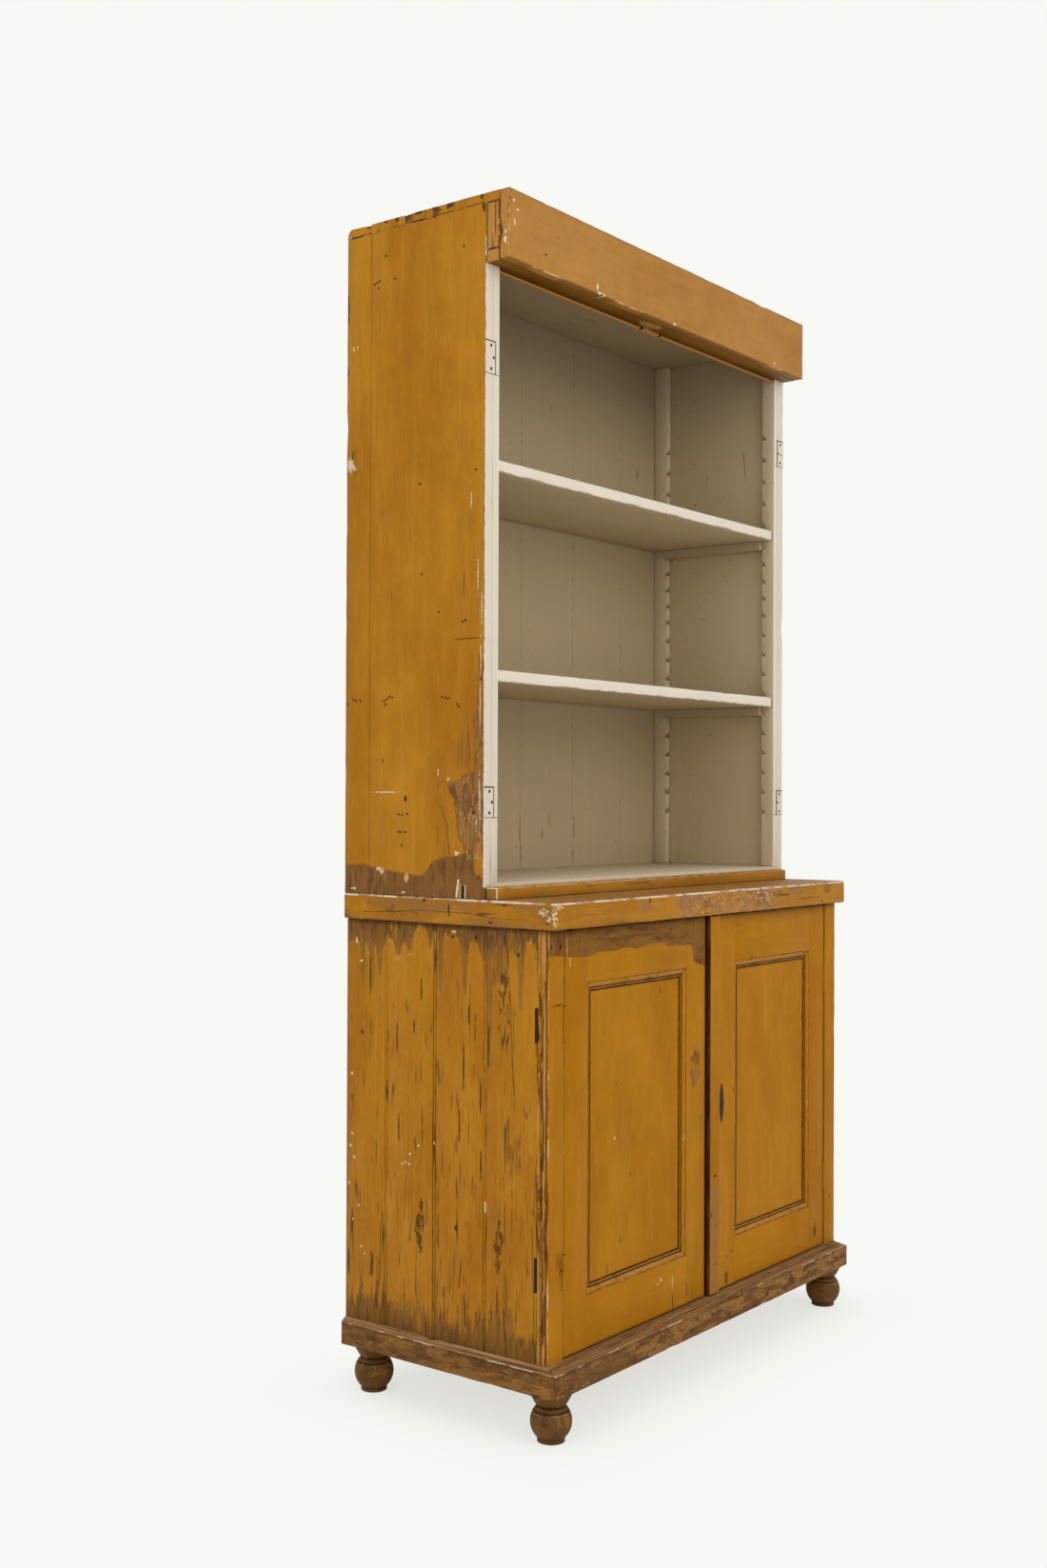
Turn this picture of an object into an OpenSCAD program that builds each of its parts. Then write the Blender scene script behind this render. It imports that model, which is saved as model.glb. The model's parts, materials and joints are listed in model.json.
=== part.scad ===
// Shop cabinet in two parts: a cupboard base on turned feet with two panelled doors, and an open
// shelf section with notched shelf racks that stands on its worktop.
// Millimetres, +Z up, the doors face -Y, and the origin is on the floor under the middle of the cabinet.

/* [Base cupboard] */
// Width over the boarded sides of the base
base_w = 1024; // [960:1:1150]
// Depth of the base, from the door faces to the back
base_d = 459; // [430:1:540]
// Height of the base between the plinth and the worktop
base_h = 723; // [660:1:800]
// Thickness of the boarded sides
base_side_t = 22; // [18:1:26]
// Width that one side board covers
side_board_w = 113.5; // [95:0.5:140]
// Thickness of the tongue on a side board
tongue_t = 6; // [4:0.5:8]
// Length of the tongue on a side board
tongue_l = 7; // [5:0.5:9]
// Diameter of the bead beside each joint of the side boards
bead_d = 5; // [3:0.5:7]
// Width of the quirk beside a bead
quirk_w = 1.5; // [1:0.5:3]
// Thickness of the back boards of the base
base_back_t = 13; // [10:1:18]
// Width that one back board of the base covers
base_back_board_w = 163; // [120:1:220]
// Thickness of the cupboard floor
base_floor_t = 22; // [16:1:30]
// Width of the fixed stile at each front corner
stile_w = 44; // [36:1:60]
// Thickness of the fixed stiles
stile_t = 25; // [22:1:32]
// Height of the rails under the worktop
top_rail_h = 44; // [34:1:60]
// Thickness of the rails under the worktop
top_rail_t = 22; // [18:1:28]
// Thickness of the shelf inside the base
base_shelf_t = 20; // [15:1:26]
// Height of that shelf's top above the cupboard floor
base_shelf_rise = 359; // [250:1:400]
// Distance of that shelf's front edge behind the door faces
base_shelf_setback = 60; // [50:1:120]
// Height of the cleats that carry that shelf
cleat_h = 30; // [20:1:45]
// Thickness of the cleats that carry that shelf
cleat_t = 20; // [14:1:30]

/* [Plinth and feet] */
// Height of the feet under the plinth
foot_h = 81; // [70:1:110]
// Diameter of the pad that a foot stands on
foot_pad_d = 42; // [30:1:54]
// Height of that pad
foot_pad_h = 6; // [3:1:9]
// Diameter of the turned ball of a foot
foot_ball_d = 71; // [58:1:74]
// Diameter of the neck above the ball
foot_neck_d = 47; // [34:1:54]
// Diameter of the bowl-shaped collar at the top of a foot
foot_collar_d = 70; // [58:1:74]
// Height of that collar
foot_collar_h = 21; // [14:1:24]
// Distance of the foot centres from the sides of the base
foot_side_inset = 27; // [26:1:60]
// Distance of the front foot centres behind the door faces
foot_front_inset = 12; // [11:1:50]
// Distance of the rear foot centres from the back of the base
foot_rear_inset = 46; // [40:1:90]
// Diameter of the dowel that holds a foot
dowel_d = 16; // [12:1:20]
// Length of the blocks that the feet are let into
foot_block_l = 72; // [60:1:100]
// Height of the plinth boards
plinth_h = 50; // [42:1:70]
// Thickness of the front plinth board
plinth_front_t = 25; // [16:1:32]
// Thickness of the side plinth boards
plinth_side_t = 12; // [8:1:20]
// Height of the bevel along the top of the plinth
plinth_bevel_h = 9; // [4:1:16]

/* [Worktop] */
// Thickness of the worktop
worktop_t = 46; // [30:1:56]
// Overhang of the worktop in front of the doors
worktop_front_over = 20; // [10:1:24]
// Overhang of the worktop at each side
worktop_side_over = 11; // [9:1:24]
// Size of the worn corners at the front of the worktop
worktop_corner = 6; // [2:1:15]

/* [Doors] */
// Thickness of the doors
door_t = 24; // [22:0.5:25]
// Distance of the middle of the gap between the doors, left of the middle of the cabinet
meeting_shift = 12.5; // [0:0.5:25]
// Gap between the left door and its stile
left_gap = 1; // [0.8:0.1:2]
// Gap between the right door and its stile
right_gap = 8; // [7:0.5:10]
// Gap between the two doors
meeting_gap = 9; // [5:0.5:12]
// Gap under the doors
door_low_gap = 3.5; // [2:0.5:5]
// Gap over the doors
door_top_gap = 3; // [2:0.5:5]
// Height of the bottom rails of the doors
door_low_rail_h = 90; // [75:1:110]
// Height of the top rails of the doors
door_top_rail_h = 92; // [75:1:110]
// Width of the hinge stile of the left door
left_hinge_stile_w = 65; // [58:1:80]
// Width of the meeting stile of the left door
left_meeting_stile_w = 66; // [60:1:85]
// Width of the hinge stile of the right door
right_hinge_stile_w = 62; // [58:1:80]
// Width of the meeting stile of the right door
right_meeting_stile_w = 101; // [92:1:120]
// Thickness of the tenons of the door rails
tenon_t = 8; // [6:1:10]
// Length of the tenons of the door rails
tenon_l = 40; // [25:1:45]
// Width of the shoulder above and below a tenon
tenon_shoulder = 16; // [12:1:24]
// Depth of the panels behind the door faces
panel_recess = 7; // [5:0.5:9]
// Thickness of the door panels
panel_t = 9; // [6:0.5:10]
// Depth of the grooves that hold the panels
panel_groove = 8; // [5:1:11]
// Width of the moulding round a panel
moulding_w = 17; // [12:1:24]
// Width of the cover batten on the right door's meeting edge
batten_w = 36; // [26:1:40]
// Thickness of that batten
batten_t = 6.5; // [4:0.5:10]

/* [Ironwork of the doors] */
// Height of the hinges
hinge_h = 58; // [45:1:75]
// Height of the lower hinges above the plinth
hinge_low_rise = 118; // [100:1:160]
// Distance of the upper hinges' tops below the worktop
hinge_top_drop = 131; // [110:1:180]
// Diameter of the hinge barrels
barrel_d = 6; // [5:0.5:6.5]
// Diameter of the hinge pins
pin_d = 3; // [2:0.5:3.5]
// Thickness of the hinge leaves
leaf_t = 2.5; // [1.5:0.5:3]
// Height of the keyhole above the plinth
lock_rise = 359; // [300:1:420]
// Distance of the keyhole from the meeting edge
lock_backset = 52; // [46:1:62]
// Height of the lock case
lock_case_h = 70; // [56:1:90]
// Depth of the lock case
lock_case_t = 12; // [11:0.5:13]
// Thickness of the sheet that the lock case is made of
lock_wall = 1.5; // [1:0.5:2]
// Height of the lock bolt
lock_bolt_h = 20; // [14:1:24]
// Thickness of the lock bolt
lock_bolt_t = 6; // [4:0.5:7]
// Travel of the lock bolt
lock_travel = 15; // [13:1:18]
// Width of the escutcheon
escutcheon_w = 14; // [12:1:20]
// Height of the escutcheon
escutcheon_h = 74; // [55:1:95]
// Thickness of the escutcheon
escutcheon_t = 1.5; // [1:0.5:2.5]
// Width of the left door's slide bolts
slide_bolt_w = 10; // [8:1:14]
// Thickness of the left door's slide bolts
slide_bolt_t = 5; // [4:0.5:7]
// Length of the left door's slide bolts
slide_bolt_l = 73; // [66:1:90]
// Travel of the left door's slide bolts
slide_bolt_travel = 12; // [8:1:14]

/* [Shelf section] */
// Distance of the sides of the shelf section inside the ends of the worktop
upper_inset = 3; // [0:0.5:20]
// Depth of the shelf section
upper_d = 326; // [300:1:360]
// Height of the shelf section
upper_h = 1210; // [1180:1:1400]
// Thickness of its sides
upper_side_t = 20; // [16:1:26]
// Thickness of its top board
upper_top_t = 17; // [14:1:24]
// Radius of the rounded edge at the back of its top
upper_round = 12; // [6:1:13]
// Thickness of its floor
upper_floor_t = 27; // [20:1:34]
// Distance of its ceiling board under the top board
ceiling_drop = 33; // [12:1:50]
// Thickness of its ceiling board
ceiling_t = 10; // [8:1:12]
// Thickness of its back boards
upper_back_t = 13; // [10:1:18]
// Width that one of its back boards covers
upper_back_board_w = 181; // [140:1:220]
// Distance of the first back board's joint from the middle
upper_back_first = 14; // [0:1:60]
// Number of dovetails that join the top to a side
dovetail_n = 5; // [3:1:7]
// Width of the pins between the dovetails, at their narrow end
dovetail_pin_w = 14; // [8:1:22]
// Slope of the dovetails, as the spread of one flank
dovetail_spread = 4; // [2:0.5:6]
// Distance of the joint of the side boards from the back
side_joint_inset = 59; // [45:1:90]
// Height of the fascia board
fascia_h = 120; // [95:1:150]
// Projection of the fascia in front of the sides
fascia_over = 49; // [38:1:60]
// Thickness of the fascia board
fascia_t = 21; // [15:1:28]
// Thickness of the strip under the fascia
soffit_t = 21; // [14:1:28]
// Thickness of the moulded rail behind the fascia
head_rail_t = 20; // [18:1:26]
// Height of that rail's moulded edge below the fascia
head_rail_drop = 7; // [6:0.5:12]
// Thickness of that moulded edge
head_rail_lip = 8.5; // [6:0.5:11]
// Size of the step in that rail's moulded edge
head_rail_step = 3; // [1:0.5:5]
// Width of the catch block in the middle of that rail
catch_w = 85; // [60:1:110]
// Distance of the catch block's middle left of the middle of the cabinet
catch_shift = 8.5; // [0:0.5:20]
// Width of the two slots in the catch block
catch_slot_w = 7; // [4:1:9]
// Distance of the middles of those slots from the ends of the block
catch_slot_inset = 10; // [7:0.5:16]
// Depth of the catch block in the rail
catch_t = 12; // [8:1:15]
// Height of the rail at the foot of the shelf section
foot_rail_h = 21; // [14:1:26]
// Projection of that rail in front of the sides
foot_rail_t = 25; // [16:1:34]
// Distance of that rail's left end from the left side
foot_rail_left = 4; // [0:1:40]
// Distance of that rail's right end from the right side
foot_rail_right = 27; // [0:1:40]

/* [Shelves and racks] */
// Thickness of the notched racks
rack_t = 16; // [12:1:22]
// Depth of the front racks
front_rack_d = 31; // [26:1:40]
// Depth of the back racks
back_rack_d = 35; // [28:1:42]
// Depth of a notch
notch_d = 8.5; // [6:0.5:11]
// Height of a notch at the edge of the rack
notch_h = 20; // [19:0.5:24]
// Radius of the round nose over a notch
notch_nose_r = 18; // [15:0.5:24]
// Height of the lowest notch above the floor of the shelf section
notch_rise = 115; // [60:1:140]
// Spacing of the lower run of notches
low_pitch = 43; // [38:0.5:46]
// Spacing of the middle run of notches
mid_pitch = 37; // [34:0.5:42]
// Spacing of the upper run of notches
high_pitch = 48; // [40:0.5:50]
// Notch that carries the lower shelf, counted from 0
low_shelf_notch = 5; // [1:1:8]
// Notch that carries the upper shelf, counted from 0
high_shelf_notch = 14; // [10:1:18]
// Height of the shelf bearers
bearer_h = 18; // [14:0.5:19]
// Width of the shelf bearers
bearer_w = 28; // [24:1:40]
// Thickness of the shelves
shelf_t = 20; // [15:1:26]
// Gap between the shelves and the racks at the left end
shelf_left_gap = 3; // [1:0.5:6]
// Gap between the shelves and the racks at the right end
shelf_right_gap = 7; // [1:0.5:7]
// Distance of the shelves' front edges behind the front of the shelf section
shelf_setback = 3; // [0:0.5:12]
// Gap between the shelves and the back boards
shelf_back_gap = 2; // [1:0.5:10]
// Width of the old hinge leaves left on the front edges
old_leaf_w = 26; // [22:1:32]
// Height of the upper old hinge leaves
old_leaf_high_h = 57; // [40:1:75]
// Height of the lower old hinge leaves
old_leaf_low_h = 53; // [40:1:75]
// Height of the upper old leaves above the floor of the shelf section
old_leaf_high_rise = 875; // [780:1:920]
// Height of the lower old leaves above the floor of the shelf section
old_leaf_low_rise = 113; // [60:1:180]
// Thickness of the old leaves
old_leaf_t = 2; // [1.5:0.5:3]
// Diameter of the screw holes in the old leaves
old_leaf_hole_d = 4; // [3:0.5:5]

/* [Fits] */
// Radial clearance of the hinge pins
pin_clear = 0.05; // [0.03:0.01:0.09]
// Clearance round a hinge barrel
barrel_clear = 0.4; // [0.3:0.05:0.6]
// Clearance of loose and sliding pieces
slide_clear = 0.3; // [0.25:0.05:0.4]
// Open joint between neighbouring boards
board_gap = 0.5; // [0.3:0.1:0.8]
// Clearance of a tongue, tenon end or panel in its groove
groove_clear = 0.4; // [0.2:0.1:0.8]
// Gap in the mitres of the panel mouldings
mitre_gap = 0.15; // [0.1:0.05:0.3]
// Clearance of a foot's dowel
dowel_clear = 0.1; // [0.05:0.05:0.3]

/* [Hidden] */
$fn = 48;
OCHRE = [0.68, 0.45, 0.13];
FASCIA_OCHRE = [0.71, 0.51, 0.26];
CREAM = [0.84, 0.80, 0.73];
BARE_WOOD = [0.62, 0.47, 0.31];
BROWN = [0.45, 0.31, 0.18];
IRON = [0.22, 0.21, 0.20];
cut = 1;

plinth_top = foot_h + plinth_h;
base_top = plinth_top + base_h;
worktop_top = base_top + worktop_t;
top_z = worktop_top + upper_h;
front_y = plinth_front_t - (base_d + plinth_front_t) / 2;
base_half = base_w / 2;
base_inner = base_half - base_side_t;
base_back_y = base_d - base_back_t;
floor_low = plinth_top - base_floor_t;
top_rail_z = base_top - top_rail_h;
opening_half = base_half - stile_w;
dowel_end_gap = 4;
dowel_l = plinth_h - base_floor_t - dowel_end_gap;
narrowest_board = 40;
base_shelf_z = plinth_top + base_shelf_rise - base_shelf_t;

door_low = plinth_top + door_low_gap;
door_high = base_top - door_top_gap;
door_rail_low = door_low + door_low_rail_h;
door_rail_high = door_high - door_top_rail_h;
left_edge = left_gap - opening_half;
left_meet = -meeting_shift - meeting_gap / 2;
right_meet = left_meet + meeting_gap;
right_edge = opening_half - right_gap;
left_open = [left_edge + left_hinge_stile_w, left_meet - left_meeting_stile_w];
right_open = [right_meet + right_meeting_stile_w, right_edge - right_hinge_stile_w];
hinge_low_z = plinth_top + hinge_low_rise;
hinge_high_z = base_top - hinge_top_drop - hinge_h;
knuckle_h = hinge_h / 3;

lock_z = plinth_top + lock_rise;
lock_x = right_meet + lock_backset;
lock_tail = 22;
lock_case_w = lock_backset + lock_tail;
lock_case_y = door_t - lock_case_t;
lock_bolt_y = lock_case_y + lock_wall + (lock_case_t - 2 * lock_wall - lock_bolt_t) / 2;
bolt_rise = 1;
bolt_tail = 12;
lock_bolt_z = lock_z + bolt_rise;
lock_bolt_l = lock_backset + bolt_tail;
keyhole_d = 6;
keyhole_slot_w = 3;
keyhole_slot_h = 9;

ogee_low = 2;
guide_t = 1.5;
guide_flange = 10;
guide_w = slide_bolt_w + 2 * guide_flange;
guide_end = 4;
guide_l = slide_bolt_l - 2 * guide_end;
strap_l = 8;
top_bolt_drop = 2;
low_bolt_rise = 5;
knob_d = 8;
knob_h = 8;
slide_bolt_x = left_meet - left_meeting_stile_w / 2;
slide_bolt_y = door_t + guide_t + slide_clear;
top_bolt_z = top_rail_z - top_bolt_drop;
low_bolt_z = plinth_top + low_bolt_rise;

upper_front = base_d - upper_d;
upper_half = base_half + worktop_side_over - upper_inset;
upper_inner = upper_half - upper_side_t;
rack_inner = upper_inner - rack_t;
upper_floor_z = worktop_top + upper_floor_t;
upper_top_z = top_z - upper_top_t;
upper_back_y = base_d - upper_back_t;
fascia_y = upper_front - fascia_over;
fascia_back = fascia_y + fascia_t;
soffit_z = top_z - fascia_h;
head_rail_z = soffit_z - head_rail_drop;
ceiling_z = upper_top_z - ceiling_drop;
dovetail_pitch = upper_d / dovetail_n;
catch_x = [-catch_shift - catch_w / 2, -catch_shift + catch_w / 2];
front_tip = upper_front + front_rack_d;
back_tip = upper_back_y - back_rack_d;
low_run_n = 10;
mid_run_n = 4;
high_run_n = 5;
notch_n = low_run_n + mid_run_n + high_run_n;
foot_y = [foot_front_inset, base_d - foot_rear_inset];

// Helpers

// Everything is drawn with the door faces at y = 0 and then moved to its place over the origin.
module placed() {
    translate([0, front_y, 0])
        children();
}

// A box from its two limits on each axis.
module slab(x, y, z) {
    translate([x[0], y[0], z[0]])
        cube([x[1] - x[0], y[1] - y[0], z[1] - z[0]]);
}

// The children on the right-hand side, or mirrored to the left.
module on_side(right) {
    mirror([right ? 0 : 1, 0, 0])
        children();
}

// The children on both sides.
module both_sides() {
    for (right = [false, true])
        on_side(right)
            children();
}

// An outline drawn in y and z, extruded along x between two limits.
module along_x(x) {
    translate([x[0], 0, 0])
        rotate([90, 0, 90])
            linear_extrude(x[1] - x[0])
                children();
}

// Vertical boards side by side, from x0 to x1, with an open joint at each place in the list.
module board_row(x0, x1, joints, y, z) {
    limits = concat([x0], joints, [x1]);
    last = len(limits) - 2;
    for (i = [0:last]) {
        low = limits[i] + (i == 0 ? 0 : board_gap / 2);
        high = limits[i + 1] - (i == last ? 0 : board_gap / 2);
        slab([low, high], y, z);
    }
}

// Feet and plinth

// Half outline of a turned foot, from the pad up to the collar.
module foot_outline() {
    ball_r = foot_ball_d / 2;
    ball_sink = 8;
    ball_z = foot_pad_h + ball_r - ball_sink;
    neck_r = foot_neck_d / 2;
    bowl_reach = foot_collar_d / 2 - neck_r;
    collar_z = foot_h - foot_collar_h;
    lip_h = 3;
    bowl_h = foot_collar_h - lip_h;
    steps = 8;
    bowl_power = 0.75;
    bowl = [
        for (i = [0:steps])
            [neck_r + bowl_reach * pow(i / steps, bowl_power), collar_z + bowl_h * i / steps]
    ];
    ring_angle = 32;
    ring_r = 1.4;
    pad_edge = 1;
    difference() {
        union() {
            square([foot_pad_d / 2, foot_pad_h]);
            intersection() {
                translate([0, ball_z])
                    circle(ball_r);
                translate([0, pad_edge])
                    square([ball_r, collar_z - pad_edge]);
            }
            square([neck_r, collar_z]);
            polygon(concat([[0, collar_z]], bowl, [[neck_r + bowl_reach, foot_h], [0, foot_h]]));
            translate([0, foot_h])
                square([dowel_d / 2, dowel_l]);
        }
        translate([ball_r * cos(ring_angle), ball_z + ball_r * sin(ring_angle)])
            circle(ring_r);
    }
}

module foot(right, rear) {
    color(BROWN) placed() on_side(right)
        translate([base_half - foot_side_inset, foot_y[rear ? 1 : 0], 0])
            rotate_extrude($fn = 96)
                foot_outline();
}

// Bores for the dowels of the feet on the right-hand side.
module dowel_bores() {
    for (y = foot_y)
        translate([base_half - foot_side_inset, y, foot_h - cut])
            cylinder(d = dowel_d + 2 * dowel_clear, h = dowel_l + groove_clear + cut);
}

module foot_front_left() foot(false, false);
module foot_front_right() foot(true, false);
module foot_rear_left() foot(false, true);
module foot_rear_right() foot(true, true);

// The front blocks fill the corner behind the plinth, and the rear blocks stand inside the back boards.
module foot_blocks() {
    height = [foot_h, floor_low];
    color(BARE_WOOD) placed() both_sides()
        difference() {
            union() {
                slab([base_half - foot_block_l, base_half], [0, stile_t], height);
                slab([base_half - foot_block_l, base_inner], [stile_t, foot_block_l], height);
                slab(
                    [base_half - foot_block_l, base_inner],
                    [base_back_y - foot_block_l, base_back_y],
                    height
                );
            }
            dowel_bores();
        }
}

// Bevelled plinth board: its section has the outer face at -t and the carcass at 0.
module plinth_section(t) {
    polygon([[-t, foot_h], [0, foot_h], [0, plinth_top], [-t, plinth_top - plinth_bevel_h]]);
}

module plinth_front() {
    outer = base_half + plinth_side_t;
    color(OCHRE) placed()
        intersection() {
            along_x([-outer, outer])
                plinth_section(plinth_front_t);
            linear_extrude(plinth_top)
                polygon([
                    [-base_half, 0],
                    [base_half, 0],
                    [outer, -plinth_front_t],
                    [-outer, -plinth_front_t]
                ]);
        }
}

module plinth_side(right) {
    outer = base_half + plinth_side_t;
    color(OCHRE) placed() on_side(right)
        intersection() {
            translate([base_half, base_d, 0])
                rotate([90, 0, 0])
                    linear_extrude(base_d + plinth_front_t)
                        mirror([1, 0])
                            plinth_section(plinth_side_t);
            linear_extrude(plinth_top)
                polygon([[base_half, 0], [outer, -plinth_front_t], [outer, base_d], [base_half, base_d]]);
        }
}

module plinth_left() plinth_side(false);
module plinth_right() plinth_side(true);

// Base carcass

module base_floor() {
    color(BARE_WOOD) placed()
        difference() {
            union() {
                slab([-base_half, base_half], [0, stile_t], [floor_low, plinth_top]);
                slab([-base_inner, base_inner], [stile_t, base_back_y], [floor_low, plinth_top]);
            }
            slide_bolt_hole([plinth_top - slide_bolt_travel, plinth_top + cut]);
        }
}

// Section of one side board between y0 and y1, with its outer face at x = base_side_t.
module side_board_section(y0, y1, has_tongue, has_groove) {
    bead_r = bead_d / 2;
    mid = base_side_t / 2;
    difference() {
        union() {
            translate([0, y0])
                square([base_side_t, y1 - y0]);
            if (has_tongue)
                translate([mid - tongue_t / 2, y0 - tongue_l])
                    square([tongue_t, tongue_l + cut]);
        }
        if (has_groove) {
            translate([mid - tongue_t / 2 - groove_clear, y1 - tongue_l - groove_clear])
                square([tongue_t + 2 * groove_clear, tongue_l + groove_clear + cut]);
            translate([base_side_t - bead_r, y1 - bead_r])
                difference() {
                    square(bead_r + cut);
                    circle(bead_r);
                }
            translate([base_side_t - bead_r, y1 - bead_d - quirk_w])
                square([bead_r + cut, quirk_w]);
        }
    }
}

// Side of tongued and grooved boards, beaded at the joints.
module base_side(right) {
    n = floor((base_d - stile_t - narrowest_board) / side_board_w) + 1;
    color(OCHRE) placed() on_side(right)
        difference() {
            translate([base_inner, 0, foot_h])
                linear_extrude(base_top - foot_h)
                    for (i = [0:n - 1])
                        side_board_section(
                            stile_t + i * side_board_w + (i == 0 ? 0 : board_gap),
                            i == n - 1 ? base_d : stile_t + (i + 1) * side_board_w,
                            i > 0,
                            i < n - 1
                        );
            dowel_bores();
        }
}

module base_side_left() base_side(false);
module base_side_right() base_side(true);

// Fixed stile in front of a side, with the pockets that take the hinges.
module corner_stile(right) {
    gap = right ? right_gap : left_gap;
    color(OCHRE) placed() on_side(right)
        difference() {
            slab([opening_half, base_half], [0, stile_t], [plinth_top, base_top]);
            hinge_recess(gap);
            for (z = [hinge_low_z, hinge_high_z])
                fixed_leaf_plates(gap, z);
            stile_quirks();
        }
}

// Fine grooves that set off a bead at each edge of the stile's outer face.
module stile_quirks() {
    depth = 1.5;
    for (y = [bead_d - 0.5, stile_t - leaf_t - bead_d - quirk_w + 0.5])
        slab([base_half - depth, base_half + cut], [y, y + quirk_w], [plinth_top - cut, base_top + cut]);
}

module corner_stile_left() corner_stile(false);
module corner_stile_right() corner_stile(true);

// Rail under the worktop, whose front face is at y.
module top_rail(y) {
    slab([-base_inner, base_inner], [y, y + top_rail_t], [top_rail_z, base_top]);
}

// The front rail takes the upper slide bolt, and the back rail lies against the back boards.
module base_top_rails() {
    color(BARE_WOOD) placed() {
        difference() {
            top_rail(stile_t);
            slide_bolt_hole([top_rail_z - cut, top_rail_z + slide_bolt_travel]);
        }
        top_rail(base_back_y - top_rail_t);
    }
}

module base_back() {
    n = floor((2 * base_inner - narrowest_board) / base_back_board_w) + 1;
    joints = [for (i = [1:n - 1]) -base_inner + i * base_back_board_w];
    color(BARE_WOOD) placed()
        board_row(-base_inner, base_inner, joints, [base_back_y, base_d], [foot_h, base_top]);
}

module base_shelf() {
    color(BARE_WOOD) placed()
        slab(
            [-base_inner, base_inner],
            [base_shelf_setback, base_back_y],
            [base_shelf_z, base_shelf_z + base_shelf_t]
        );
}

module base_shelf_cleats() {
    color(BARE_WOOD) placed() both_sides()
        slab(
            [base_inner - cleat_t, base_inner],
            [base_shelf_setback, base_back_y],
            [base_shelf_z - cleat_h, base_shelf_z]
        );
}

module worktop() {
    half = base_half + worktop_side_over;
    front = -worktop_front_over;
    c = worktop_corner;
    color(OCHRE) placed()
        translate([0, 0, base_top])
            linear_extrude(worktop_t)
                polygon([
                    [-half, base_d],
                    [-half, front + c],
                    [-half + c, front],
                    [half - c, front],
                    [half, front + c],
                    [half, base_d]
                ]);
}

// Doors

// Space that a panel fills in its frame, grown by a clearance in the grooves.
module panel_space(open, clear) {
    reach = panel_groove - groove_clear + clear;
    slab(
        [open[0] - reach, open[1] + reach],
        [panel_recess, panel_recess + panel_t],
        [door_rail_low - reach, door_rail_high + reach]
    );
}

// Tenons of both rails of a door, grown by a clearance at their ends.
module door_tenons(open, clear) {
    y = [(door_t - tenon_t) / 2, (door_t + tenon_t) / 2];
    for (z = [[door_low, door_rail_low], [door_rail_high, door_high]])
        slab(
            [open[0] - tenon_l - clear, open[1] + tenon_l + clear],
            y,
            [z[0] + tenon_shoulder, z[1] - tenon_shoulder]
        );
}

module door_stile(x, open) {
    difference() {
        slab(x, [0, door_t], [door_low, door_high]);
        door_tenons(open, groove_clear);
        panel_space(open, groove_clear);
    }
}

module door_rail(open, z) {
    difference() {
        union() {
            slab(open, [0, door_t], z);
            intersection() {
                door_tenons(open, 0);
                slab([open[0] - tenon_l, open[1] + tenon_l], [0, door_t], z);
            }
        }
        panel_space(open, groove_clear);
    }
}

// Height of the ogee across the moulding, from the frame at 0 to the panel at 1.
function ogee(t) = ogee_low + (panel_recess - 2 * ogee_low) * (1 + cos(180 * t)) / 2;

// Section of the panel moulding: a fillet at the frame, a quirk, an ogee, a quirk and a low fillet.
module moulding_section() {
    steps = 8;
    fillet_w = 2;
    high_quirk_w = 1.5;
    low_quirk_w = 1;
    quirk_z = 1.2;
    below_frame = 0.3;
    high = panel_recess - below_frame;
    start = fillet_w + high_quirk_w;
    end = moulding_w - fillet_w - low_quirk_w;
    curve = [for (i = [0:steps]) [start + (end - start) * i / steps, ogee(i / steps)]];
    polygon(concat(
        [[0, 0], [0, high], [fillet_w, high], [fillet_w, ogee(0)], [start, ogee(0)]],
        curve,
        [[end, quirk_z], [moulding_w - fillet_w, quirk_z]],
        [[moulding_w - fillet_w, ogee(1)], [moulding_w, ogee(1)], [moulding_w, 0]]
    ));
}

// One mitred length of moulding, along x, that stands on the panel at z = 0.
module moulding_length(l) {
    g = mitre_gap;
    w = moulding_w;
    intersection() {
        along_x([0, l])
            moulding_section();
        linear_extrude(panel_recess)
            polygon([[g, 0], [l - g, 0], [l - w - g, w], [w + g, w]]);
    }
}

// Four lengths of moulding round an opening, on the face of the panel.
module door_moulding(open) {
    w = open[1] - open[0];
    h = door_rail_high - door_rail_low;
    color(OCHRE) placed()
        translate([open[0], panel_recess, door_rail_low])
            rotate([90, 0, 0]) {
                moulding_length(w);
                translate([w, h, 0])
                    rotate(180)
                        moulding_length(w);
                translate([w, 0, 0])
                    rotate(90)
                        moulding_length(h);
                translate([0, h, 0])
                    rotate(-90)
                        moulding_length(h);
            }
}

module left_door_hinge_stile() {
    color(OCHRE) placed()
        difference() {
            door_stile([left_edge, left_open[0]], left_open);
            on_side(false)
                door_hinge_recess(left_gap);
        }
}

module left_door_meeting_stile() {
    color(OCHRE) placed()
        difference() {
            door_stile([left_open[1], left_meet], left_open);
            lock_bolt_space(slide_clear, lock_travel + slide_clear);
        }
}

module left_door_top_rail() {
    color(OCHRE) placed()
        door_rail(left_open, [door_rail_high, door_high]);
}

module left_door_bottom_rail() {
    color(OCHRE) placed()
        door_rail(left_open, [door_low, door_rail_low]);
}

module left_door_panel() {
    color(OCHRE) placed()
        panel_space(left_open, 0);
}

module left_door_moulding() door_moulding(left_open);

module right_door_hinge_stile() {
    color(OCHRE) placed()
        difference() {
            door_stile([right_open[1], right_edge], right_open);
            door_hinge_recess(right_gap);
        }
}

module right_door_meeting_stile() {
    color(OCHRE) placed()
        difference() {
            door_stile([right_meet, right_open[0]], right_open);
            lock_case_space(cut);
            keyhole([-cut, lock_case_y + cut]);
        }
}

module right_door_top_rail() {
    color(OCHRE) placed()
        door_rail(right_open, [door_rail_high, door_high]);
}

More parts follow.
